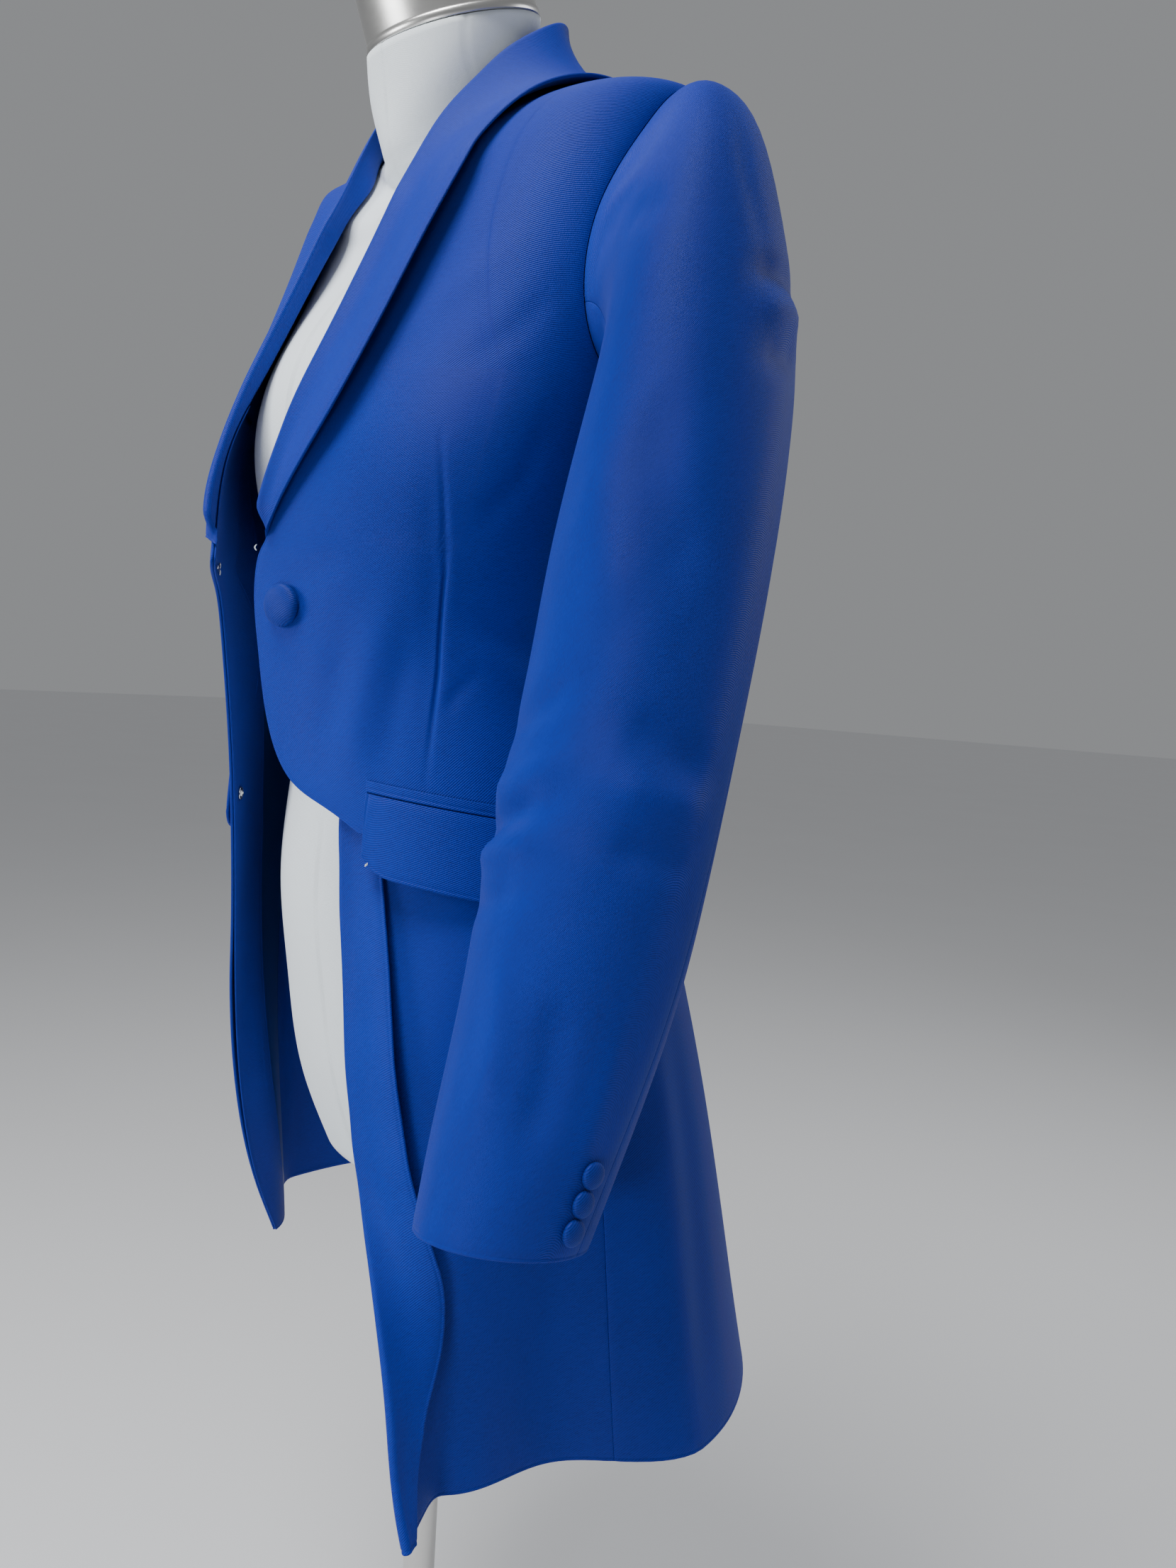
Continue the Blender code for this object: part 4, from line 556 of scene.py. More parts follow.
def normal_of(face, turn, level, hand=LEFT):
    """Outward unit normals of a face that is read by turn and level."""
    across = face(turn + SLOPE_TURN, level, hand) - face(turn - SLOPE_TURN, level, hand)
    up = face(turn, level + SLOPE_LEVEL, hand) - face(turn, level - SLOPE_LEVEL, hand)
    return hand * unit(np.cross(across, up))


def moved_out(face, turn, level, out, hand=LEFT):
    """Points of a face moved out along its normals."""
    turn, level, out = np.broadcast_arrays(turn, level, out)
    return face(turn, level, hand) + out[..., None] * normal_of(face, turn, level, hand)


def turn_at(x, level, hand=LEFT):
    """Turn on the front half where the coat is x from the centre plane."""
    x, level = np.broadcast_arrays(np.asarray(x, float), np.asarray(level, float))
    low, high = np.zeros(x.shape), np.full(x.shape, FRONT_TURNS)
    for _ in range(HALVINGS):
        middle = (low + high) / 2
        inside = np.abs(coat_point(middle, level, hand)[..., 0]) < x
        low, high = np.where(inside, middle, low), np.where(inside, high, middle)
    return (low + high) / 2


def armhole(angle):
    """Turn and level on the armhole, by the angle round it."""
    rows = np.array(ARMHOLE)
    rows = np.vstack([rows[-3:] - (360, 0, 0), rows, rows[:3] + (360, 0, 0)])
    return np.stack([spline(angle, rows[:, 0], rows[:, i]) for i in (1, 2)], -1)


def side_seam(level):
    """Turn and level of the side seam at a level."""
    rows = np.array(SIDE_SEAM)
    return np.stack([spline(level, rows[:, 0], rows[:, 1]), level], -1)


def hem_level(turn):
    """Level of the hem at a turn."""
    rows = np.array(HEM)
    return spline(turn, rows[:, 0], rows[:, 1])


def shares(length, step=STEP, start=True, end=True):
    """Places from 0 to 1 of a length, closer together beside a border."""
    low = CLOSE if start else CLOSE[:1]
    high = CLOSE if end else CLOSE[:1]
    count = max(int((length - low[-1] - high[-1]) / step), 2) + 1
    middle = np.linspace(low[-1], length - high[-1], count)
    return np.r_[low[:-1], middle, (length - high[:-1])[::-1]] / length


def resample(points, at):
    """Places at shares of a row of turns and levels, a degree counted as 3 mm."""
    length = lengths(points * TURN_METRES)
    return read_at(at * length[-1], length, points)


def line_between(start, end, at):
    """Places on a straight line, at shares of it."""
    start, end = np.asarray(start, float), np.asarray(end, float)
    return start + (end - start) * np.asarray(at)[:, None]


def patch(bottom, top, left, right, us, vs):
    """Turns and levels inside four border curves, read at the shares us and vs."""
    u, v = us[None, :, None], vs[:, None, None]
    across = left[:, None] * (1 - u) + right[:, None] * u
    upward = bottom[None] * (1 - v) + top[None] * v
    corners = ((1 - v) * ((1 - u) * bottom[0] + u * bottom[-1])
               + v * ((1 - u) * top[0] + u * top[-1]))
    return across + upward - corners


def front_border(edge, hand):
    """Turns and levels up a front's edge and on along the neck seam."""
    edge = np.array(edge)
    turns = turn_at(edge[:, 0], edge[:, 1], hand)
    neck = np.array(COLLAR)[:SHOULDER_ROW + 1, :2]
    return along(np.vstack([np.stack([turns, edge[:, 1]], -1), neck]), np.linspace(0, 1, 400))


def side_border(low, at):
    """Places on the side seam from a level up to the armpit."""
    seam = side_seam(low + (ARMPIT_LEVEL - low) * at)
    seam[-1] = armhole(180.0)
    return seam


def front_patch(edge, low_level, hand):
    """Turns and levels of a front: below the armpit, then up to the shoulder."""
    border = front_border(edge, hand)
    cut = np.searchsorted(border[:, 1], ARMPIT_LEVEL)
    us = np.unique(np.r_[shares(FRONT_WIDTH), np.arange(*DART_ZONE, MM / FRONT_WIDTH)])
    vs = shares(ARMPIT_LEVEL - low_level, end=False)
    high_vs = shares(FRONT_RISE, start=False)
    low, high = resample(border[:cut + 1], vs), resample(border[cut:], high_vs)
    seam, hole = side_border(low_level, vs), armhole(180 * (1 - high_vs))
    bottom = line_between(low[0], seam[0], us)
    middle = line_between(low[-1], seam[-1], us)
    top = line_between(high[-1], hole[-1], us)
    lower = patch(bottom, middle, low, seam, us, vs)
    upper = patch(middle, top, high, hole, us, high_vs)
    return np.vstack([lower, upper[1:]])


def back_patch():
    """Turns and levels of a back: below the armpit, then up to the neck."""
    neck_row = along(np.array(COLLAR)[SHOULDER_ROW:, :2], np.linspace(0, 1, 60))
    us = shares(BACK_WIDTH)
    vs = shares(ARMPIT_LEVEL - hem_level(SIDE_TURN), end=False)
    high_vs = shares(BACK_RISE, start=False)
    shoulder = SHOULDER_SHARE
    on_neck = resample(neck_row, np.clip((us - shoulder) / (1 - shoulder), 0, 1))
    on_seam = line_between(armhole(360.0), neck_row[0], np.clip(us / shoulder, 0, 1))
    top = np.where((us < shoulder)[:, None], on_seam, on_neck)
    side = side_border(hem_level(SIDE_TURN), vs)
    middle = line_between(side[-1], (180.0, ARMPIT_LEVEL), us)
    centre_low = line_between((180.0, hem_level(180.0)), middle[-1], vs)
    centre_high = line_between(middle[-1], top[-1], high_vs)
    hole = armhole(180 + 180 * high_vs)
    bottom = line_between(side[0], centre_low[0], us)
    lower = patch(bottom, middle, side, centre_low, us, vs)
    upper = patch(middle, top, hole, centre_high, us, high_vs)
    return np.vstack([lower, upper[1:]])


def left_skirt_rows(vs):
    """Rows of points of the left skirt, from its front fold to the side seam,
    and the turns and levels of each."""
    table = np.array(LEFT_SKIRT)
    made = []
    for v in vs:
        fold_level = table[0, 0] + v * (table[-1, 0] - table[0, 0])
        x, y, bend = (spline(fold_level, table[:, 0], table[:, i]) for i in (1, 2, 3))
        side_level = hem_level(SIDE_TURN) + v * (POCKET_LEVEL - SEAM - hem_level(SIDE_TURN))
        turns = np.linspace(bend, side_seam(side_level)[0], SKIRT_POINTS)
        top = POCKET_LEVEL + (table[-1, 0] - POCKET_LEVEL) * (1 - ease(turns, *SKIRT_TOP_TURNS))
        levels = hem_level(turns) + v * (top - SEAM - hem_level(turns))
        tuck = TUCK * (1 - ease(turns, *TUCK_TURNS)) * (1 - ease(-levels, *TUCK_LEVELS))
        face = moved_out(coat_point, turns, levels, -tuck)
        lip = line_between((x, y, WAIST + fold_level), face[0], np.linspace(0, 1, LIP_POINTS))
        made.append(softened(np.vstack([lip[:-1], face])))
    return np.array(made)


def softened(row):
    """A row of points with its corners rounded and its ends kept."""
    for _ in range(SOFTENINGS):
        row = np.vstack([row[:1], (row[:-2] + 2 * row[1:-1] + row[2:]) / 4, row[-1:]])
    return row


def lengths(row):
    """Distance of each point of a row from its first, along the row."""
    return np.r_[0, np.cumsum(np.linalg.norm(np.diff(row, axis=0), axis=1))]


def read_at(distances, length, columns):
    """A row's columns read at distances along it."""
    return np.stack([np.interp(distances, length, column) for column in columns.T], -1)


def grid_normals(grid, hand=LEFT):
    """Outward unit normals of a grid of points."""
    across = np.gradient(grid, axis=1)
    up = np.gradient(grid, axis=0)
    return hand * unit(np.cross(across, up))


def turned_over(foot, foot_out, crest, edge, edge_out, splits):
    """Outer points and normals of a cloth that rises from a hidden foot, turns
    over at a crest and comes back to an edge; splits are the steps of the
    foot's side, of the round and of the turned-back side."""
    inward = unit(unit(foot - crest) + unit(edge - crest))
    across = unit(edge - foot)
    across = unit(across - (across * inward).sum(-1, keepdims=True) * inward)
    middle = crest + FOLD * inward
    outer, normals = [], []
    for u in np.arange(splits[0]) / splits[0]:
        outer.append(foot * (1 - u) + (middle - FOLD * across) * u)
        normals.append(unit(-FOOT_LEAN * foot_out * (1 - u) - across))
    for u in np.arange(splits[1]) / splits[1]:
        angle = pi * (u - 0.5)
        ray = -inward * cos(angle) + across * sin(angle)
        outer.append(middle + FOLD * ray)
        normals.append(ray)
    start = middle + FOLD * across
    width = np.linalg.norm(edge - start, axis=-1, keepdims=True)
    landing = edge - start
    landing = unit(landing - (landing * edge_out).sum(-1, keepdims=True) * edge_out)
    reach = BOW * width
    for u in shares(splits[2], start=False):
        a, b, c, d = (1 - u) ** 3, 3 * u * (1 - u) ** 2, 3 * u * u * (1 - u), u ** 3
        outer.append(a * start + b * (start + inward * reach) + c * (edge - landing * reach) + d * edge)
        normals.append(unit(across * (1 - u) + edge_out * u))
    return np.stack(outer, 1), np.stack(normals, 1)


def collar_grid(hand, rows, splits):
    """Outer points and normals of one half of the collar, from the break to
    the centre back."""
    table = along(COLLAR, rows)
    base = coat_point(table[:, 0], table[:, 1], hand)
    out = normal_of(coat_point, table[:, 0], table[:, 1], hand)
    moved = base - coat_point(table[:, 0], table[:, 1], LEFT) * (hand, 1, 1)
    near_break = 1 - ease(table[:, 1], *BREAK_LEVELS)
    crest = table[:, 2:5] * (hand, 1, 1) + (0, 0, WAIST)
    crest = crest + CREST_FOLLOW * moved * near_break[:, None]
    landing = coat_point(table[:, 5], table[:, 6], hand)
    edge_out = normal_of(coat_point, table[:, 5], table[:, 6], hand)
    share = 1.0 if hand == LEFT else RIGHT_STAND_OFF
    stand_off = LEAST_STAND_OFF + (table[:, 7] - LEAST_STAND_OFF) * share
    edge = landing + stand_off[:, None] * edge_out
    into = landing - base
    into = unit(into - (into * out).sum(-1, keepdims=True) * out)
    foot = base - into * (CLOTH + 4 * SEAM) - out * CLOTH
    return turned_over(foot, out, crest, edge, edge_out, splits)


def band_grid(skirt, vs, splits):
    """Outer points and normals of the band turned back over the left skirt's
    front fold."""
    table = np.array(LEFT_SKIRT)
    levels = table[0, 0] + (table[-1, 0] - table[0, 0]) * vs
    widths = spline(levels, table[:, 0], table[:, 4])
    lifts = spline(levels, table[:, 0], table[:, 5])
    starts, bases, outs, edges, edge_outs = [], [], [], [], []
    for row, normals, width, lift in zip(skirt, grid_normals(skirt), widths, lifts):
        length = lengths(row)
        start, here, there = read_at([0.0, FOLD_MARGIN, width], length, row)
        place = min(int(width / length[-1] * len(row)) + 2, len(row) - 1)
        starts.append(start + normals[2] * MM)
        bases.append(here)
        outs.append(normals[4])
        edges.append(there + normals[place] * lift)
        edge_outs.append(normals[place])
    crest, base, out, edge, edge_out = map(np.array, (starts, bases, outs, edges, edge_outs))
    foot = base - unit(base - crest) * (CLOTH + 4 * SEAM) - out * CLOTH
    return turned_over(foot, out, crest, edge, edge_out, splits)


def sleeve_point(at, angle, hand=LEFT):
    """Points of a sleeve, at 0 to 1 down it and by the angle round it."""
    at, angle = np.broadcast_arrays(np.asarray(at, float), np.asarray(angle, float))
    table = SLEEVES[hand]
    rows = along(table, at.ravel()).reshape(at.shape + (8,))
    made = sleeve_section(rows, angle)
    start = sleeve_section(np.broadcast_to(table[0], rows.shape), angle)
    hole = armhole(angle % 360)
    hole += (HOLE_CENTRE - hole) * HOLE_GAP
    joined = coat_point(hole[..., 0], hole[..., 1], hand) * (hand, 1, 1)
    fade = (1 - ease(at, 0, JOIN_LENGTH))[..., None]
    return (made + (joined - start) * fade) * (hand, 1, 1)


def sleeve_section(rows, angle):
    """Points round a sleeve's sections, given by rows of its table."""
    outer_x, outer_z, inner_x, inner_z, mid_y, reach, swing, rise = np.moveaxis(rows, -1, 0)
    swing = np.radians(swing)
    c, s = np.cos(np.radians(angle)), np.sin(np.radians(angle))
    half = (outer_x - inner_x) / 2
    return np.stack([
        (outer_x + inner_x) / 2 + half * np.cos(swing) * c - reach * np.sin(swing) * s,
        mid_y - half * np.sin(swing) * c - reach * np.cos(swing) * s,
        WAIST + (outer_z + inner_z) / 2 + (outer_z - inner_z) / 2 * c + reach * rise * s,
    ], -1)


def sleeve_place(at, angle, hand):
    """A point of a sleeve and its outward normal."""
    point = sleeve_point(at, angle, hand)
    round_it = sleeve_point(at, angle + 1, hand) - sleeve_point(at, angle - 1, hand)
    low, high = np.minimum(at + SLOPE_AT, 1.0), np.maximum(at - SLOPE_AT, 0.0)
    down = sleeve_point(low, angle, hand) - sleeve_point(high, angle, hand)
    return point, hand * unit(np.cross(round_it, down))


def creased(first, second, table, scale, hand):
    """How far a table's creases move the cloth out at places (first, second);
    scale turns both coordinates into metres."""
    where = np.stack([first, second], -1) * scale
    out = np.zeros(first.shape)
    for places, width, depth, on_hand in table:
        if on_hand in (0, hand):
            out += depth * MM * near_line(where, np.array(places) * scale, width * MM)
    return out


def near_line(where, line, width):
    """1 on a line of places, falling softly to 0 beside it and at its ends."""
    steps = np.linalg.norm(np.diff(line, axis=0), axis=1)
    total, done = steps.sum(), 0.0
    best, place = np.full(where.shape[:-1], 1e9), np.zeros(where.shape[:-1])
    for start, end, length in zip(line, line[1:], steps):
        t = np.clip((where - start) @ (end - start) / length ** 2, 0, 1)
        far = np.linalg.norm(where - (start + t[..., None] * (end - start)), axis=-1)
        closer = far < best
        best = np.where(closer, far, best)
        place = np.where(closer, (done + t * length) / total, place)
        done += length
    taper = ease(place, 0, LINE_END) * (1 - ease(place, 1 - LINE_END, 1))
    return np.exp(-(best / width) ** 2) * (LEAST_LINE + (1 - LEAST_LINE) * taper)


def border_distances(outer):
    """Distances of a grid's points from its left, right, bottom and top border."""
    across = np.linalg.norm(np.diff(outer, axis=1), axis=2)
    upward = np.linalg.norm(np.diff(outer, axis=0), axis=2)
    left = np.pad(np.cumsum(across, axis=1), ((0, 0), (1, 0)))
    bottom = np.pad(np.cumsum(upward, axis=0), ((1, 0), (0, 0)))
    return left, left[:, -1:] - left, bottom, bottom[-1:] - bottom


def finished(outer, normals, wall, borders, lift=0.0):
    """Outer and inner points of a wall of cloth. Each border (left, right,
    bottom, top) is a seam, an edge or hidden: seams lie in a soft groove, and
    an edge is rounded and has a pressed line beside it."""
    outer = outer + normals * np.asarray(lift)[..., None]
    inner = outer - normals * wall
    sunk, worn, thinned = (np.zeros(outer.shape[:2]) for _ in range(3))
    for far, kind in zip(border_distances(outer), borders):
        if kind == "seam":
            sunk += SEAM_GROOVE[0] * np.exp(-(far / SEAM_GROOVE[1]) ** 2)
            worn = np.maximum(worn, rounding(far, SEAM_ROUND))
            continue
        if kind == "edge":
            sunk += EDGE_GROOVE[0] * np.exp(-((far - EDGE_GROOVE[1]) / EDGE_GROOVE[2]) ** 2)
        worn = np.maximum(worn, rounding(far, EDGE_ROUND * wall))
        thinned = np.maximum(thinned, rounding(far, EDGE_ROUND * wall))
    outer = outer - normals * (sunk + worn)[..., None]
    inner = inner - normals * (sunk - thinned)[..., None]
    return outer, inner


def rounding(far, radius):
    """How far a rounded border of that radius lies below a flat one."""
    return radius * (1 - np.sqrt(1 - np.clip(1 - far / radius, 0, 1) ** 2))


def link(name, mesh, node, material):
    """An object of the scene that stands for a CAD node."""
    piece = bpy.data.objects.new("looks_" + name, mesh)
    bpy.context.scene.collection.objects.link(piece)
    piece.data.materials.append(bpy.data.materials["look_" + material])
    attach(piece, "root")
    if node:
        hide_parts(node)
    return piece


def grid_faces(rows, cols, flip, wrap=False):
    """Quads of a grid of points, row by row."""
    columns = np.arange(cols if wrap else cols - 1)
    first = (np.arange(rows - 1)[:, None] * cols + columns).ravel()
    second = (np.arange(rows - 1)[:, None] * cols + (columns + 1) % cols).ravel()
    quads = np.stack([first, second, second + cols, first + cols], -1)
    return quads[:, ::-1] if flip else quads


def new_mesh(name, points, faces, uv):
    """A smooth mesh of quads, with a place on the cloth (metres) for each point."""
    mesh = bpy.data.meshes.new("looks_" + name)
    mesh.from_pydata((points + SHIFT).tolist(), [], faces.tolist())
    layer = mesh.uv_layers.new(name="cloth")
    corners = np.zeros(len(mesh.loops), int)
    mesh.loops.foreach_get("vertex_index", corners)
    layer.data.foreach_set("uv", uv[corners].ravel())
    mesh.shade_smooth()
    return mesh


def cloth(name, outer, inner, hand, material="coat_cloth", held="draped", rests_on=("form_torso",)):
    """A wall of cloth between its outer and inner points, closed all round, with
    places on the cloth measured along its outer face."""
    rows, cols = outer.shape[:2]
    count = rows * cols
    flip = hand == RIGHT
    face = grid_faces(rows, cols, flip)
    back = grid_faces(rows, cols, not flip) + count
    rim = np.r_[np.arange(cols - 1), np.arange(rows - 1) * cols + cols - 1,
                count - 1 - np.arange(cols - 1), np.arange(rows - 1, 0, -1) * cols]
    ahead = np.roll(rim, -1)
    edge = np.stack([rim, rim + count, ahead + count, ahead], -1)
    faces = np.vstack([face, back, edge[:, ::-1] if flip else edge])
    left, _, bottom, _ = border_distances(outer)
    uv = np.stack([left - left[:, -1:] / 2, bottom], -1).reshape(-1, 2)
    points = np.vstack([outer.reshape(-1, 3), inner.reshape(-1, 3)])
    piece = link(name, new_mesh(name, points, faces, np.vstack([uv, uv])), name, material)
    return piece


def revolved(name, profile, steps, matrix, node, material, ripple=None):
    """A turned piece from (radius, height) pairs, top to bottom, with closed ends;
    ripple(angle, radius) moves its points out."""
    profile = np.array(profile)
    angles = np.linspace(0, 2 * pi, steps, endpoint=False)
    radius = profile[:, :1] + 0 * angles
    if ripple:
        radius = radius + ripple(angles[None], radius)
    local = np.stack([radius * np.cos(angles), radius * np.sin(angles),
                      profile[:, 1:] + 0 * angles], -1)
    turn = np.array(matrix.to_3x3())
    points = local.reshape(-1, 3) @ turn.T + np.array(matrix.translation)
    faces = grid_faces(len(profile), steps, True, wrap=True)
    uv = local.reshape(-1, 3)[:, :2]
    mesh = new_mesh(name, points, faces, uv)
    close_poles(mesh)
    return link(name, mesh, node, material)


def close_poles(mesh):
    """Joins the points at a turned piece's poles."""
    made = bmesh.new()
    made.from_mesh(mesh)
    bmesh.ops.remove_doubles(made, verts=made.verts, dist=SAME_PLACE)
    made.to_mesh(mesh)
    made.free()


def body_panels():
    """Fronts and backs, parted at the side, shoulder and centre back seams."""
    left = front_patch(LEFT_EDGE, POCKET_LEVEL, LEFT)
    right = front_patch(RIGHT_EDGE, hem_level(SIDE_TURN), RIGHT)
    back = back_patch()
    panel("front_left", left, LEFT, ("edge", "seam", "hidden", "seam"))
    panel("front_right", right, RIGHT, ("edge", "seam", "edge", "seam"))
    panel("back_left", back, LEFT, ("seam", "seam", "edge", "seam"))
    panel("back_right", back, RIGHT, ("seam", "seam", "edge", "seam"))
    return right


def panel(name, places, hand, borders):
    """A piece of the coat's body at the given turns and levels."""
    turns, levels = places[..., 0], places[..., 1]
    outer = coat_point(turns, levels, hand)
    normals = normal_of(coat_point, turns, levels, hand)
    lift = creased(turns, levels, COAT_CREASES, TURN_METRES, hand)
    cloth(name, *finished(outer, normals, CLOTH, borders, lift), hand)


def left_skirt():
    """The left front's skirt part, from its fold to the side seam."""
    vs = shares(SKIRT_HEIGHT)
    skirt = left_skirt_rows(vs)
    facing = grid_normals(skirt)
    us = shares(SKIRT_WIDTH)
    outer, normals = [], []
    for row, out in zip(skirt, facing):
        length = lengths(row)
        places = FOLD_MARGIN + (length[-1] - FOLD_MARGIN) * us
        outer.append(read_at(places, length, row))
        normals.append(unit(read_at(places, length, out)))
    outer, normals = np.array(outer), np.array(normals)
    turns = np.degrees(np.arctan2(outer[..., 0], -outer[..., 1]))
    lift = creased(turns, outer[..., 2] - WAIST, COAT_CREASES, TURN_METRES, LEFT)
    lift *= ease(border_distances(outer)[0], *FADE_IN)
    walls = finished(outer, normals, CLOTH, ("hidden", "seam", "edge", "hidden"), lift)
    cloth("skirt_left", *walls, LEFT, held="hung", rests_on=("front_left",))


def left_band():
    """The band turned back from the left skirt's fold."""
    vs = shares(BAND_HEIGHT, BAND_STEP)
    outer, normals = band_grid(left_skirt_rows(vs), vs, BAND_SPLITS)
    height, pace, wander, wander_pace = BAND_WAVES
    puckers = height * np.sin(vs * pace + wander * np.sin(vs * wander_pace))[:, None]
    lift = puckers * np.linspace(0, 1, outer.shape[1])[None]
    walls = finished(outer, normals, COLLAR_WALL, ("hidden", "edge", "edge", "edge"), lift)
    cloth("band_left", *walls, LEFT, held="folded", rests_on=("skirt_left",))


def right_facing(places):
    """Facing inside the right front's edge, and the lining beside it in the skirt."""
    outer = coat_point(places[..., 0], places[..., 1], RIGHT)
    low_rows = places[:, 0, 1] < ARMPIT_LEVEL
    facing, lining = [], []
    for row, place in zip(outer[low_rows], places[low_rows]):
        length = lengths(row)
        width = min(FACING_WIDTH, FACING_SHARE * length[-1])
        for made, us, low, high in ((facing, shares(FACING_SPAN), SEAM, width),
                                    (lining, shares(LINING_SPAN), width + SEAM, LINING_REACH * length[-1])):
            made.append(read_at(low + (high - low) * us, length, place))
    depth = CLOTH + SEAM
    lining = np.array(lining)
    lining = lining[(lining[:, 0, 1] > lining[0, 0, 1] + LINING_FOOT) & (lining[:, 0, 1] < LINING_TOP)]
    for name, grid, material, borders in (
            ("facing_right", np.array(facing), "coat_cloth", ("edge", "edge", "edge", "hidden")),
            ("lining_right", lining, "coat_lining", ("seam", "edge", "edge", "hidden"))):
        turns, levels = grid[..., 0], grid[..., 1]
        normals = normal_of(coat_point, turns, levels, RIGHT)
        face = coat_point(turns, levels, RIGHT) - depth * normals
        inner, outer = finished(face - LIGHT * normals, -normals, LIGHT, borders)
        cloth(name, outer, inner, RIGHT, material, "laid", ("front_right",))


def collars():
    """The halves of the shawl collar, which meet at the centre back."""
    rows = shares(COLLAR_LENGTH, COLLAR_STEP)
    height, pace = COLLAR_WAVES
    for hand, side in HANDS:
        outer, normals = collar_grid(hand, rows, COLLAR_SPLITS)
        outer, normals = flattened(outer, normals, border_distances(outer)[2][:, :1])
        lift = height * np.sin(rows * pace + hand)[:, None] * np.linspace(0, 1, outer.shape[1])
        outer, inner = finished(outer, normals, COLLAR_WALL, ("hidden", "edge", "edge", "seam"), lift)
        for grid in (outer, inner):
            grid[..., 0] = hand * np.maximum(hand * grid[..., 0], SEAM / 2)
        cloth("collar_" + side, outer, inner, hand, held="folded", rests_on=("front_" + side, "back_" + side))


def flattened(outer, normals, far):
    """A turned-over cloth that flattens out into the cloth under it towards its
    first row; far is the distance from there."""
    share = (1 - ease(far, MM, BREAK_LENGTH))[..., None]
    across = np.linspace(0, 1, outer.shape[1])[None, :, None]
    line = outer[:, :1] * (1 - across) + outer[:, -1:] * across
    flat_normals = np.broadcast_to(normals[:, -1:], normals.shape)
    return outer + (line - outer) * share, unit(normals + (flat_normals - normals) * share)


def sleeves():
    """Sleeves of two pieces, each with its cuff buttons."""
    places = shares(SLEEVE_LENGTH)
    for hand, side in HANDS:
        back = BACK_SEAM[0] + (BACK_SEAM[1] - BACK_SEAM[0]) * places[:, None]
        top = back - 360 + (FRONT_SEAM - back + 360) * shares(TOP_WIDTH)
        under = FRONT_SEAM + (back - FRONT_SEAM) * shares(UNDER_WIDTH)
        for name, angles in (("sleeve_top_", top), ("sleeve_under_", under)):
            outer, normals = sleeve_place(places[:, None] + 0 * angles, angles, hand)
            hole = armhole(angles[0] % 360)
            joint = normal_of(coat_point, hole[:, 0], hole[:, 1], hand)
            share = (1 - ease(places, 0, JOINT_SHARE))[:, None, None]
            normals = unit(normals * (1 - share / 2) + joint[None] * share / 2)
            round_it = (angles + 90) % 360 - 90
            lift = creased(places[:, None] + 0 * angles, round_it, SLEEVE_CREASES,
                           (SLEEVE_LENGTH, SLEEVE_DEGREE), hand)
            walls = finished(outer, normals, CLOTH, ("seam", "seam", "seam", "edge"), lift)
            cloth(name + side, *walls, hand, held="hung", rests_on=("front_" + side, "back_" + side))
        cuff_buttons(hand, side)


def cuff_buttons(hand, side):
    """Three buttons along a cuff, beside the back seam."""
    line = np.linspace(1.0, CUFF_TOP, 80)
    seam = sleeve_point(line, BACK_SEAM[1] + BUTTON_TURN, hand)
    for i, distance in enumerate(CUFF_PLACES):
        at = np.interp(distance, lengths(seam), line)
        point, normal = sleeve_place(at, BACK_SEAM[1] + BUTTON_TURN, hand)
        button(f"cuff_button_{side}_{i + 1}", *CUFF_BUTTON, axis_matrix(point + normal * 2 * SEAM, normal))


def button(name, radius, height, matrix):
    """A button covered with the coat's cloth, gathered in under its rim."""
    angles = np.radians(np.linspace(0, 90, 14))
    rim = BUTTON_RIM * height
    top = [(radius * sin(a), rim + (height - rim) * cos(a) ** BUTTON_DOME) for a in angles]
    under = [(radius * out, rim * up) for out, up in BUTTON_UNDER]
    depth, count = BUTTON_GATHERS

    def gathers(angle, r):
        return depth * radius * np.sin(count * angle + np.sin(3 * angle)) * (r / radius) ** 8

    revolved(name, top + under, BUTTON_SIDES, matrix, name, "coat_buttons", gathers)


def axis_matrix(place, direction):
    """A matrix that puts +Z along a direction, at a place."""
    turn = Vector(direction).to_track_quat("Z", "Y")
    return Matrix.Translation(Vector(place)) @ turn.to_matrix().to_4x4()


def strip(outline, share, rise, lifted=0.0):
    """Turns and levels between the top and the bottom of a pocket's outline."""
    start, end, top_a, top_b, low_a, low_b = outline[:6]
    low = low_a + (low_b - low_a) * share + lifted
    top = top_a + (top_b - top_a) * share
    levels = low + (top - low) * rise[:, None]
    return np.stack([start + (end - start) * share + 0 * levels, levels], -1)


def pockets():
    """A welt and a flap on either front."""
    share = shares(FLAP_WIDTH, FLAP_STEP)
    near = np.clip(1 - share * (FLAP[1] - FLAP[0]) / FLAP[6], 0, 1)
    rise = shares(FLAP_HEIGHT, FLAP_STEP)
    flap = strip(FLAP, share, rise, CORNER_RISE * (1 - np.sqrt(1 - near ** 2)))
    welt = strip(WELT, share, shares(WELT_HEIGHT, WELT_STEP))
    height, pace, start = FLAP_WAVER
    hanging = (1 - rise)[:, None]
    lift = CLOTH + POCKET_GAP + FLAP_STAND_OFF * hanging + height * np.sin(share * pace + start) * hanging
    flap_borders, welt_borders = ("edge", "edge", "edge", "seam"), ("seam", "seam", "edge", "hidden")
    for hand, side in HANDS:
        laid("flap_" + side, flap, hand, CLOTH, lift, flap_borders, "hung")
        laid("welt_" + side, welt, hand, LIGHT, LIGHT + POCKET_GAP, welt_borders, "laid")


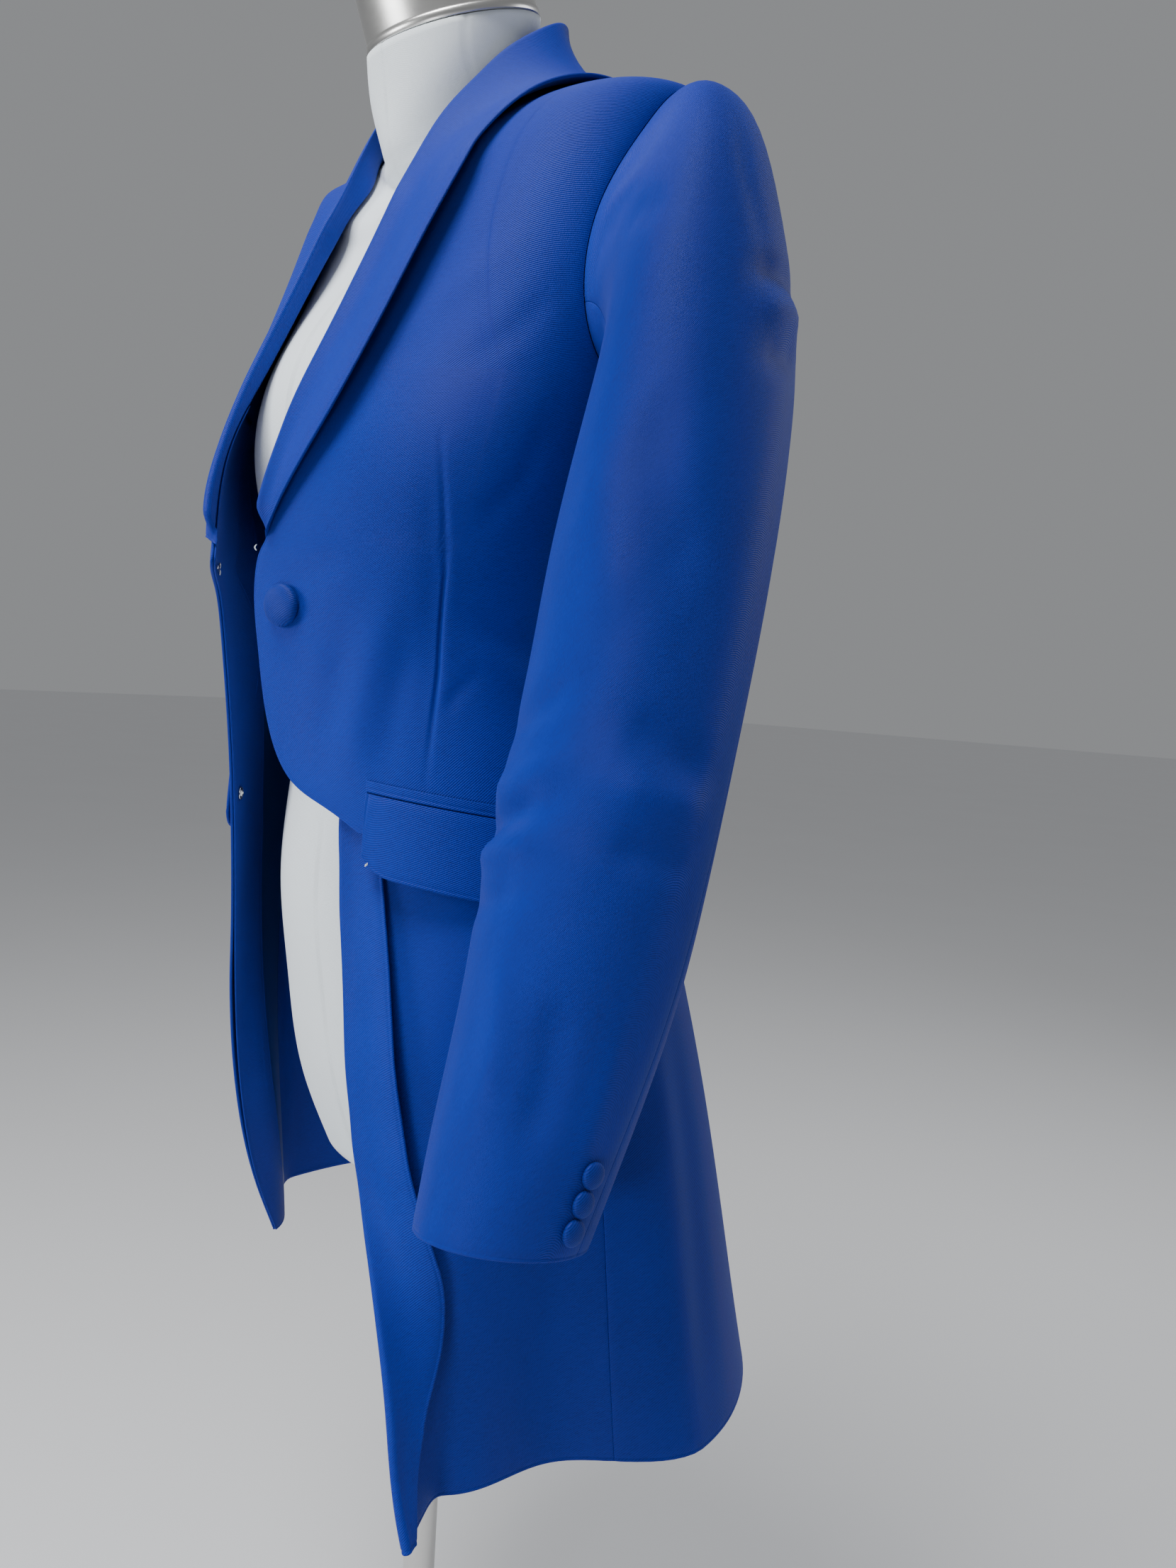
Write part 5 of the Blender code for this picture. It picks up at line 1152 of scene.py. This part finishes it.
def laid(name, places, hand, wall, out, borders, held):
    """A piece of cloth on a front, out from it, with the front's creases but its dart's."""
    turns, levels = places[..., 0], places[..., 1]
    normals = normal_of(coat_point, turns, levels, hand)
    lift = creased(turns, levels, COAT_CREASES[DART_ROWS:], TURN_METRES, hand) + out
    walls = finished(coat_point(turns, levels, hand), normals, wall, borders, lift)
    cloth(name, *walls, hand, held=held, rests_on=("front_" + name.split("_")[1],))


def tube(name, lines, radius, material, node=None, steps=10):
    """Round threads or wires along rows of points."""
    curve = bpy.data.curves.new("looks_" + name, "CURVE")
    curve.dimensions = "3D"
    curve.bevel_depth = radius
    curve.bevel_resolution = 3
    curve.resolution_u = steps
    curve.use_fill_caps = True
    for points in lines:
        line = curve.splines.new("NURBS")
        line.points.add(len(points) - 1)
        for place, point in zip(line.points, np.asarray(points) + SHIFT):
            place.co = (*point, 1.0)
        line.order_u = 3
        line.use_endpoint_u = True
    return link(name, curve, node, material)


def on_front(hand, turn, level, out):
    """A place on the coat moved out, and the directions across, up and out there."""
    turn, level = float(turn), float(level)
    normal = normal_of(coat_point, turn, level, hand)
    across = unit(coat_point(turn + 1, level, hand) - coat_point(turn, level, hand))
    return coat_point(turn, level, hand) + normal * out, across, np.cross(normal, across), normal


def right_edge(level):
    """Distance of the right front's edge from the centre plane."""
    return spline(level, [row[1] for row in RIGHT_EDGE], [row[0] for row in RIGHT_EDGE])


def fastenings():
    """The front button, and the snap and hook inside the right front."""
    x, level, radius, height = FRONT_BUTTON
    place, _, _, normal = on_front(LEFT, turn_at(x, level), level, 2 * SEAM)
    button("button_front", radius, height, axis_matrix(place, normal))
    level, inset, height = SNAP
    turn = turn_at(right_edge(level) + inset, level, RIGHT)
    place, across, up, normal = on_front(RIGHT, turn, level, -(CLOTH + LIGHT + 2 * SEAM))
    snap(height, axis_matrix(place, -normal))
    hook()
    snap_stitches(place, across, up, normal)


def snap(height, matrix):
    """A round snap with four notches in its rim."""
    depth, width, inner = SNAP_NOTCH

    def notches(angle, r):
        off = np.abs((angle + pi / 4) % (pi / 2) - pi / 4)
        return -depth * np.exp(-(off / width) ** 2) * (r > inner)

    profile = [(radius, height * share) for radius, share in SNAP_PROFILE]
    revolved("snap", profile, SNAP_SIDES, matrix, "snap", "snap_metal", notches)


def snap_stitches(place, across, up, normal):
    """Three threads through each of the snap's notches."""
    low, rise = STITCH_LIFT
    stitches = []
    for a in (0, pi / 2, pi, 3 * pi / 2):
        ray, beside = across * cos(a) + up * sin(a), up * cos(a) - across * sin(a)
        stitches += [[place - normal * (low + rise * sin(pi * t))
                      + ray * (STITCH_START + STITCH_REACH * t) + beside * k * STITCH_GAP
                      for t in np.linspace(0, 1, 6)] for k in (-1, 0, 1)]
    tube("snap_thread", stitches, STITCH_RADIUS, "coat_cloth")


def hook():
    """A bent wire hook with two sewing eyes, inside the right front's edge."""
    turn = turn_at(right_edge(HOOK_LEVEL) + HOOK_INSET, HOOK_LEVEL, RIGHT)
    place = coat_point(turn, HOOK_LEVEL, RIGHT)
    inward = -normal_of(coat_point, turn, HOOK_LEVEL, RIGHT)
    toward = unit(coat_point(turn - 2, HOOK_LEVEL, RIGHT) - place)
    up = np.cross(inward, toward)
    depth = CLOTH + LIGHT + 2 * SEAM + HOOK_LIFT
    round_eye = np.radians(np.linspace(-EYE_ARC, EYE_ARC, 15))
    first, second = ([(EYE_PLACE[0] - HOOK_EYE * cos(a), side * (EYE_PLACE[1] + HOOK_EYE * sin(a)), 0.0)
                      for a in round_eye[::side]] for side in (1, -1))
    line = [place + inward * (depth + c) + toward * a + up * b for a, b, c in (*first, *HOOK_BEND, *second)]
    tube("hook", [line], HOOK_WIRE, "hook_metal", "hook", 4)


def threads():
    """The white thread eye at the left front's break and the tack at the flap's corner."""
    x, level = THREAD_EYE
    place, across, up, normal = on_front(LEFT, turn_at(x, level), level, SEAM)
    near, far = THREAD_REACH
    loops = [[place + normal * THREAD_RISE * sin(pi * t) - across * (near + far * sin(pi * t)) * k
              + up * (THREAD_HEIGHT * (t - 0.5)) for t in np.linspace(0, 1, 7)] for k in THREAD_LOOPS]
    tube("thread_eye", loops, THREAD_RADIUS, "form_linen")
    place, across, up, normal = on_front(LEFT, *TACK)
    wide, high = TACK_SIZE
    tacks = [[place + across * wide * (t - 0.5) + up * (TACK_STEP * k + high * (t - 0.5))
              + normal * TACK_LIFT * sin(pi * t) for t in np.linspace(0, 1, 5)] for k in (-1, 0, 1)]
    tube("flap_tack", tacks, TACK_RADIUS, "form_linen")


def form_rings(turns, levels):
    """Rings of the dress form, which follow the coat's inside over the shoulders."""
    rings = ring_point(FORM, turns[None], levels[:, None], tilted=True)
    share = ease(levels, *RESTING_FROM) * (1 - ease(levels, *RESTING_TO))
    for i, turn in enumerate(turns):
        hand = LEFT if turn <= 180 else RIGHT
        resting = moved_out(coat_point, min(turn, 360 - turn), levels, -(CLOTH + REST_GAP), hand)
        rings[:, i] += (resting - rings[:, i]) * share[:, None]
    return rings


def torso():
    """The linen form, with a seam round its neck and six along it."""
    levels = np.linspace(FORM[0, 0], FORM[-1, 0], FORM_RINGS)
    turns = np.linspace(0, 360, FORM_SIDES, endpoint=False)
    rings = form_rings(turns, levels)
    normals = unit(np.cross(np.gradient(rings, axis=1), np.gradient(rings, axis=0)))
    neck_seam = NECK_SEAM[0] + NECK_SEAM[1] * np.cos(np.radians(turns))
    seam = -NECK_GROOVE[0] * np.exp(-((levels[:, None] - neck_seam) / NECK_GROOVE[1]) ** 2)
    for at in FORM_SEAMS:
        far = np.abs((turns - at + 180) % 360 - 180) * FORM_DEGREE
        seam = seam - FORM_GROOVE[0] * np.exp(-(far / FORM_GROOVE[1]) ** 2)
    outer = rings + normals * seam[..., None]
    rows, cols = outer.shape[:2]
    upward = np.pad(np.cumsum(np.linalg.norm(np.diff(outer, axis=0), axis=2), axis=0), ((1, 0), (0, 0)))
    around = np.broadcast_to(np.linspace(0, FORM_ROUND, cols), (rows, cols))
    uv = np.stack([around, upward], -1).reshape(-1, 2)
    mesh = new_mesh("form_torso", outer.reshape(-1, 3), grid_faces(rows, cols, False, wrap=True), uv)
    cap_ends(mesh, rows, cols)
    link("form_torso", mesh, "form_torso", "form_linen")


def stand():
    """The neck cap, pole and foot."""
    tilt = Matrix.Rotation(radians(CAP_TILT), 4, "X")
    centre = Vector(CAP_CENTRE) + Vector((0, 0, WAIST)) + tilt @ Vector((0, 0, 2 * SEAM))
    crown = [(CAP_RADIUS * sin(a), CAP_HEIGHT - CROWN_DROP * (1 - cos(a)))
             for a in np.radians(np.linspace(0, 90, 20))]
    cap = crown + [(CAP_RADIUS + out, height) for out, height in CAP_WALL] + [(0.0, 0.0)]
    revolved("neck_cap", cap, CAP_SIDES, Matrix.Translation(centre) @ tilt, "neck_cap", "stand_metal")
    under_form = Matrix.Translation((0.0, SET_BACK, 0.0))
    top, low = WAIST + FORM[0, 1] - SEAM, FOOT_HEIGHT + SEAM
    pole = [(0.0, top), (POLE_RADIUS - BEVEL, top), (POLE_RADIUS, top - BEVEL),
            (POLE_RADIUS, low + BEVEL), (POLE_RADIUS - BEVEL, low), (0.0, low)]
    revolved("pole", pole, POLE_SIDES, under_form, "pole", "stand_metal")
    flat, collar, bevel = FOOT_COLLAR
    rim = [(FOOT_RADIUS - inside, height) for inside, height in FOOT_RIM]
    middle = [(0.0, FOOT_HEIGHT), (flat, FOOT_HEIGHT), (collar, FOOT_HEIGHT - bevel)]
    foot = [*middle, *FOOT_TOP, *rim, (0.0, 0.0)]
    revolved("foot", foot, FOOT_SIDES, under_form, "foot", "stand_metal")


def cap_ends(mesh, rows, cols):
    """Closes the first and last ring of a mesh of rings."""
    made = bmesh.new()
    made.from_mesh(mesh)
    made.verts.ensure_lookup_table()
    made.faces.new([made.verts[i] for i in range(cols)][::-1])
    made.faces.new([made.verts[i] for i in range((rows - 1) * cols, rows * cols)])
    made.to_mesh(mesh)
    made.free()


class Look:
    """A material's nodes, with short ways to add and join them."""

    def __init__(self, name, base, roughness, metallic=0.0):
        self.material = bpy.data.materials.new("look_" + name)
        self.material.use_nodes = True
        self.tree = self.material.node_tree
        self.shader = self.tree.nodes["Principled BSDF"]
        self.material.diffuse_color = (*base, 1.0)
        self.set(**{"Base Color": (*base, 1.0), "Roughness": roughness, "Metallic": metallic})

    def set(self, **values):
        """Fixed values of the shader."""
        for name, value in values.items():
            self.shader.inputs[name].default_value = value

    def node(self, kind, settings=(), **inputs):
        """A new node with its settings and inputs."""
        made = self.tree.nodes.new("ShaderNode" + kind)
        for name, value in dict(settings).items():
            setattr(made, name, value)
        for name, value in inputs.items():
            socket = made.inputs[name.replace("_", " ")]
            if isinstance(value, bpy.types.NodeSocket):
                self.tree.links.new(value, socket)
            else:
                socket.default_value = value
        return made

    def places(self, turn=0.0, stretch=(1.0, 1.0, 1.0), flat=True):
        """Coordinates in metres, on the cloth where flat, turned and stretched."""
        source = self.node("TexCoord").outputs["UV" if flat else "Object"]
        made = self.node("Mapping", Vector=source, Rotation=(0.0, 0.0, turn), Scale=stretch)
        return made.outputs["Vector"]

    def noise(self, places, scale, detail=3.0, rough=0.5):
        """Cloudy noise at the places."""
        made = self.node("TexNoise", Vector=places, Scale=scale, Detail=detail, Roughness=rough)
        return made.outputs["Fac"]

    def bands(self, places, pitch, bend=0.0, bend_scale=1.0):
        """Ridges one pitch apart, wavering by bend."""
        made = self.node("TexWave", {"wave_type": "BANDS", "bands_direction": "X", "wave_profile": "SIN"},
                         Vector=places, Scale=WAVE_PITCH / pitch, Distortion=bend, Detail=2.0,
                         Detail_Scale=bend_scale)
        return made.outputs["Fac"]

    def mixed(self, share, first, second):
        """A colour between two, by a share."""
        made = self.node("Mix", {"data_type": "RGBA"})
        self.tree.links.new(share, made.inputs["Factor"])
        made.inputs["A"].default_value = (*first, 1.0)
        made.inputs["B"].default_value = (*second, 1.0)
        return made.outputs["Result"]

    def sums(self, *parts):
        """The sum of (value, weight) pairs."""
        total = None
        for value, weight in parts:
            scaled = self.node("Math", {"operation": "MULTIPLY"})
            self.tree.links.new(value, scaled.inputs[0])
            scaled.inputs[1].default_value = weight
            if total is None:
                total = scaled.outputs[0]
                continue
            added = self.node("Math", {"operation": "ADD"})
            self.tree.links.new(total, added.inputs[0])
            self.tree.links.new(scaled.outputs[0], added.inputs[1])
            total = added.outputs[0]
        return total

    def spread(self, value, low, high):
        """A value from 0 to 1 spread from low to high."""
        made = self.node("MapRange", Value=value)
        made.inputs["To Min"].default_value = low
        made.inputs["To Max"].default_value = high
        return made.outputs["Result"]

    def join(self, value, name):
        """Leads a value into the shader."""
        self.tree.links.new(value, self.shader.inputs[name])

    def bump(self, height, strength, distance):
        """Fine relief from a height."""
        made = self.node("Bump", Height=height, Strength=strength, Distance=distance)
        self.join(made.outputs["Normal"], "Normal")


def twill(name, tones, sheen, roughness):
    """Fine worsted twill: slanting ribs, a fibrous grain and soft cloudy tones."""
    look = Look(name, tones[1], roughness)
    look.set(**{"Sheen Weight": sheen, "Sheen Roughness": 0.42, "Sheen Tint": (0.34, 0.46, 1.0, 1.0),
                "Specular IOR Level": 0.18})
    ribs = look.bands(look.places(TWILL_SLANT), TWILL_PITCH, 0.6, 3.0)
    fibres = look.noise(look.places(TWILL_SLANT, (1.0, 0.25, 1.0)), 1500.0, 2.0)
    clouds = look.noise(look.places(), 14.0, 4.0, 0.6)
    slubs = look.noise(look.places(0.0, (1.0, 6.0, 1.0)), 160.0, 3.0, 0.6)
    tone = look.sums((ribs, 0.30), (fibres, 0.45), (clouds, 0.30), (slubs, 0.50))
    look.join(look.mixed(look.spread(tone, -0.45, 1.25), *tones), "Base Color")
    rough = look.sums((clouds, 0.6), (fibres, 0.4))
    look.join(look.spread(rough, roughness - 0.06, roughness + 0.08), "Roughness")
    look.bump(look.sums((ribs, 0.6), (fibres, 0.6), (slubs, 0.6)), 0.7, 0.00035)


def lining():
    """Smooth satin lining with a fine cross thread."""
    look = Look("coat_lining", PLAIN_LINING, 0.38)
    look.set(**{"Sheen Weight": 0.15, "Sheen Roughness": 0.3, "Sheen Tint": (0.5, 0.6, 1.0, 1.0)})
    threads_across = look.bands(look.places(), LINING_PITCH, 0.4, 2.0)
    tone = look.sums((threads_across, 0.3), (look.noise(look.places(), 22.0), 0.7))
    look.join(look.mixed(tone, *LINING_TONES), "Base Color")
    look.bump(threads_across, 0.2, 0.0001)


def linen():
    """Plain woven linen, bluish white, with uneven threads."""
    look = Look("form_linen", PLAIN_LINEN, 0.85)
    look.set(**{"Sheen Weight": 0.12, "Sheen Roughness": 0.5, "Specular IOR Level": 0.25})
    warp, weft = (look.bands(look.places(turn), LINEN_PITCH, 1.2, 2.0) for turn in (0.0, radians(90)))
    slubs, cross_slubs = (look.noise(look.places(0.0, stretch), 220.0, 2.0)
                          for stretch in ((1.0, 14.0, 1.0), (14.0, 1.0, 1.0)))
    clouds = look.noise(look.places(), 9.0)
    tone = look.sums((warp, 0.16), (weft, 0.16), (slubs, 0.22), (cross_slubs, 0.22), (clouds, 0.35))
    look.join(look.mixed(look.spread(tone, -0.2, 1.1), *LINEN_TONES), "Base Color")
    look.bump(look.sums((warp, 0.5), (weft, 0.5), (slubs, 0.4), (cross_slubs, 0.4)), 0.4, 0.0003)


def brushed(name, base, roughness, stretch, scratch):
    """Metal with fine brush marks along one direction."""
    look = Look(name, base, roughness, 1.0)
    marks = look.noise(look.places(0.0, stretch, flat=False), scratch, 4.0, 0.65)
    blotches = look.noise(look.places(flat=False), 30.0)
    dull = tuple(DULLED * c for c in base)
    look.join(look.mixed(look.sums((marks, 0.5), (blotches, 0.5)), dull, base), "Base Color")
    rough = look.sums((marks, 0.7), (blotches, 0.3))
    look.join(look.spread(rough, roughness - 0.08, roughness + 0.12), "Roughness")
    look.bump(marks, 0.12, 0.0001)


def floor_look():
    """A pale floor with faint clouds."""
    look = Look("floor", PLAIN_FLOOR, 0.9)
    look.join(look.mixed(look.noise(look.places(flat=False), 1.5), *FLOOR_TONES), "Base Color")


def materials():
    """All looks, by the slots of the pieces."""
    twill("coat_cloth", CLOTH_TONES, 0.10, 0.55)
    twill("coat_buttons", BUTTON_TONES, 0.08, 0.50)
    lining()
    linen()
    for name, base, roughness, stretch, scratch in METALS:
        brushed(name, base, roughness, stretch, scratch)
    floor_look()


def light(name, place, size, power, color):
    """A square soft light aimed at the coat's chest."""
    data = bpy.data.lights.new(name, "AREA")
    data.shape = "SQUARE"
    data.size, data.energy, data.color = size, power, color
    made = bpy.data.objects.new(name, data)
    turn = (Vector(LIGHTS_AIM) - Vector(place)).to_track_quat("-Z", "Y")
    made.matrix_world = Matrix.Translation(Vector(place)) @ turn.to_matrix().to_4x4()
    bpy.context.scene.collection.objects.link(made)


def studio():
    """A pale floor, pale surroundings and large soft lights."""
    mesh = bpy.data.meshes.new("floor")
    half = FLOOR_HALF
    corners = [(-half, -half, 0), (half, -half, 0), (half, half, 0), (-half, half, 0)]
    mesh.from_pydata(corners, [], [(0, 1, 2, 3)])
    floor = bpy.data.objects.new("floor", mesh)
    floor.data.materials.append(bpy.data.materials["look_floor"])
    bpy.context.scene.collection.objects.link(floor)
    world = bpy.data.worlds.new("studio")
    bpy.context.scene.world = world
    world.use_nodes = True
    sky = world.node_tree.nodes["Background"]
    sky.inputs["Color"].default_value = (*WORLD_TONE, 1.0)
    sky.inputs["Strength"].default_value = WORLD_STRENGTH
    for setting in LIGHTS:
        light(*setting)


def camera():
    """The camera at the photograph's place, for a frame of 1659 by 2212 pixels."""
    az, el, roll = (radians(angle) for angle in CAMERA_ANGLES)
    forward = Vector((-sin(az) * cos(el), cos(az) * cos(el), -sin(el)))
    right = Vector((cos(az), sin(az), 0.0))
    up = right.cross(forward)
    turned_right = right * cos(roll) + up * sin(roll)
    turned_up = -right * sin(roll) + up * cos(roll)
    data = bpy.data.cameras.new("camera")
    data.sensor_fit = "VERTICAL"
    data.sensor_height = SENSOR_HEIGHT
    data.lens = SENSOR_HEIGHT * CAMERA_FOCUS / PHOTO_HEIGHT
    data.clip_start = NEAREST
    made = bpy.data.objects.new("camera", data)
    rotation = Matrix((turned_right, turned_up, -forward)).transposed().to_4x4()
    made.matrix_world = Matrix.Translation(Vector(CAMERA_PLACE)) @ rotation
    bpy.context.scene.collection.objects.link(made)
    bpy.context.scene.camera = made


materials()
right_places = body_panels()
left_skirt()
left_band()
right_facing(right_places)
collars()
sleeves()
pockets()
fastenings()
threads()
torso()
stand()
studio()
camera()
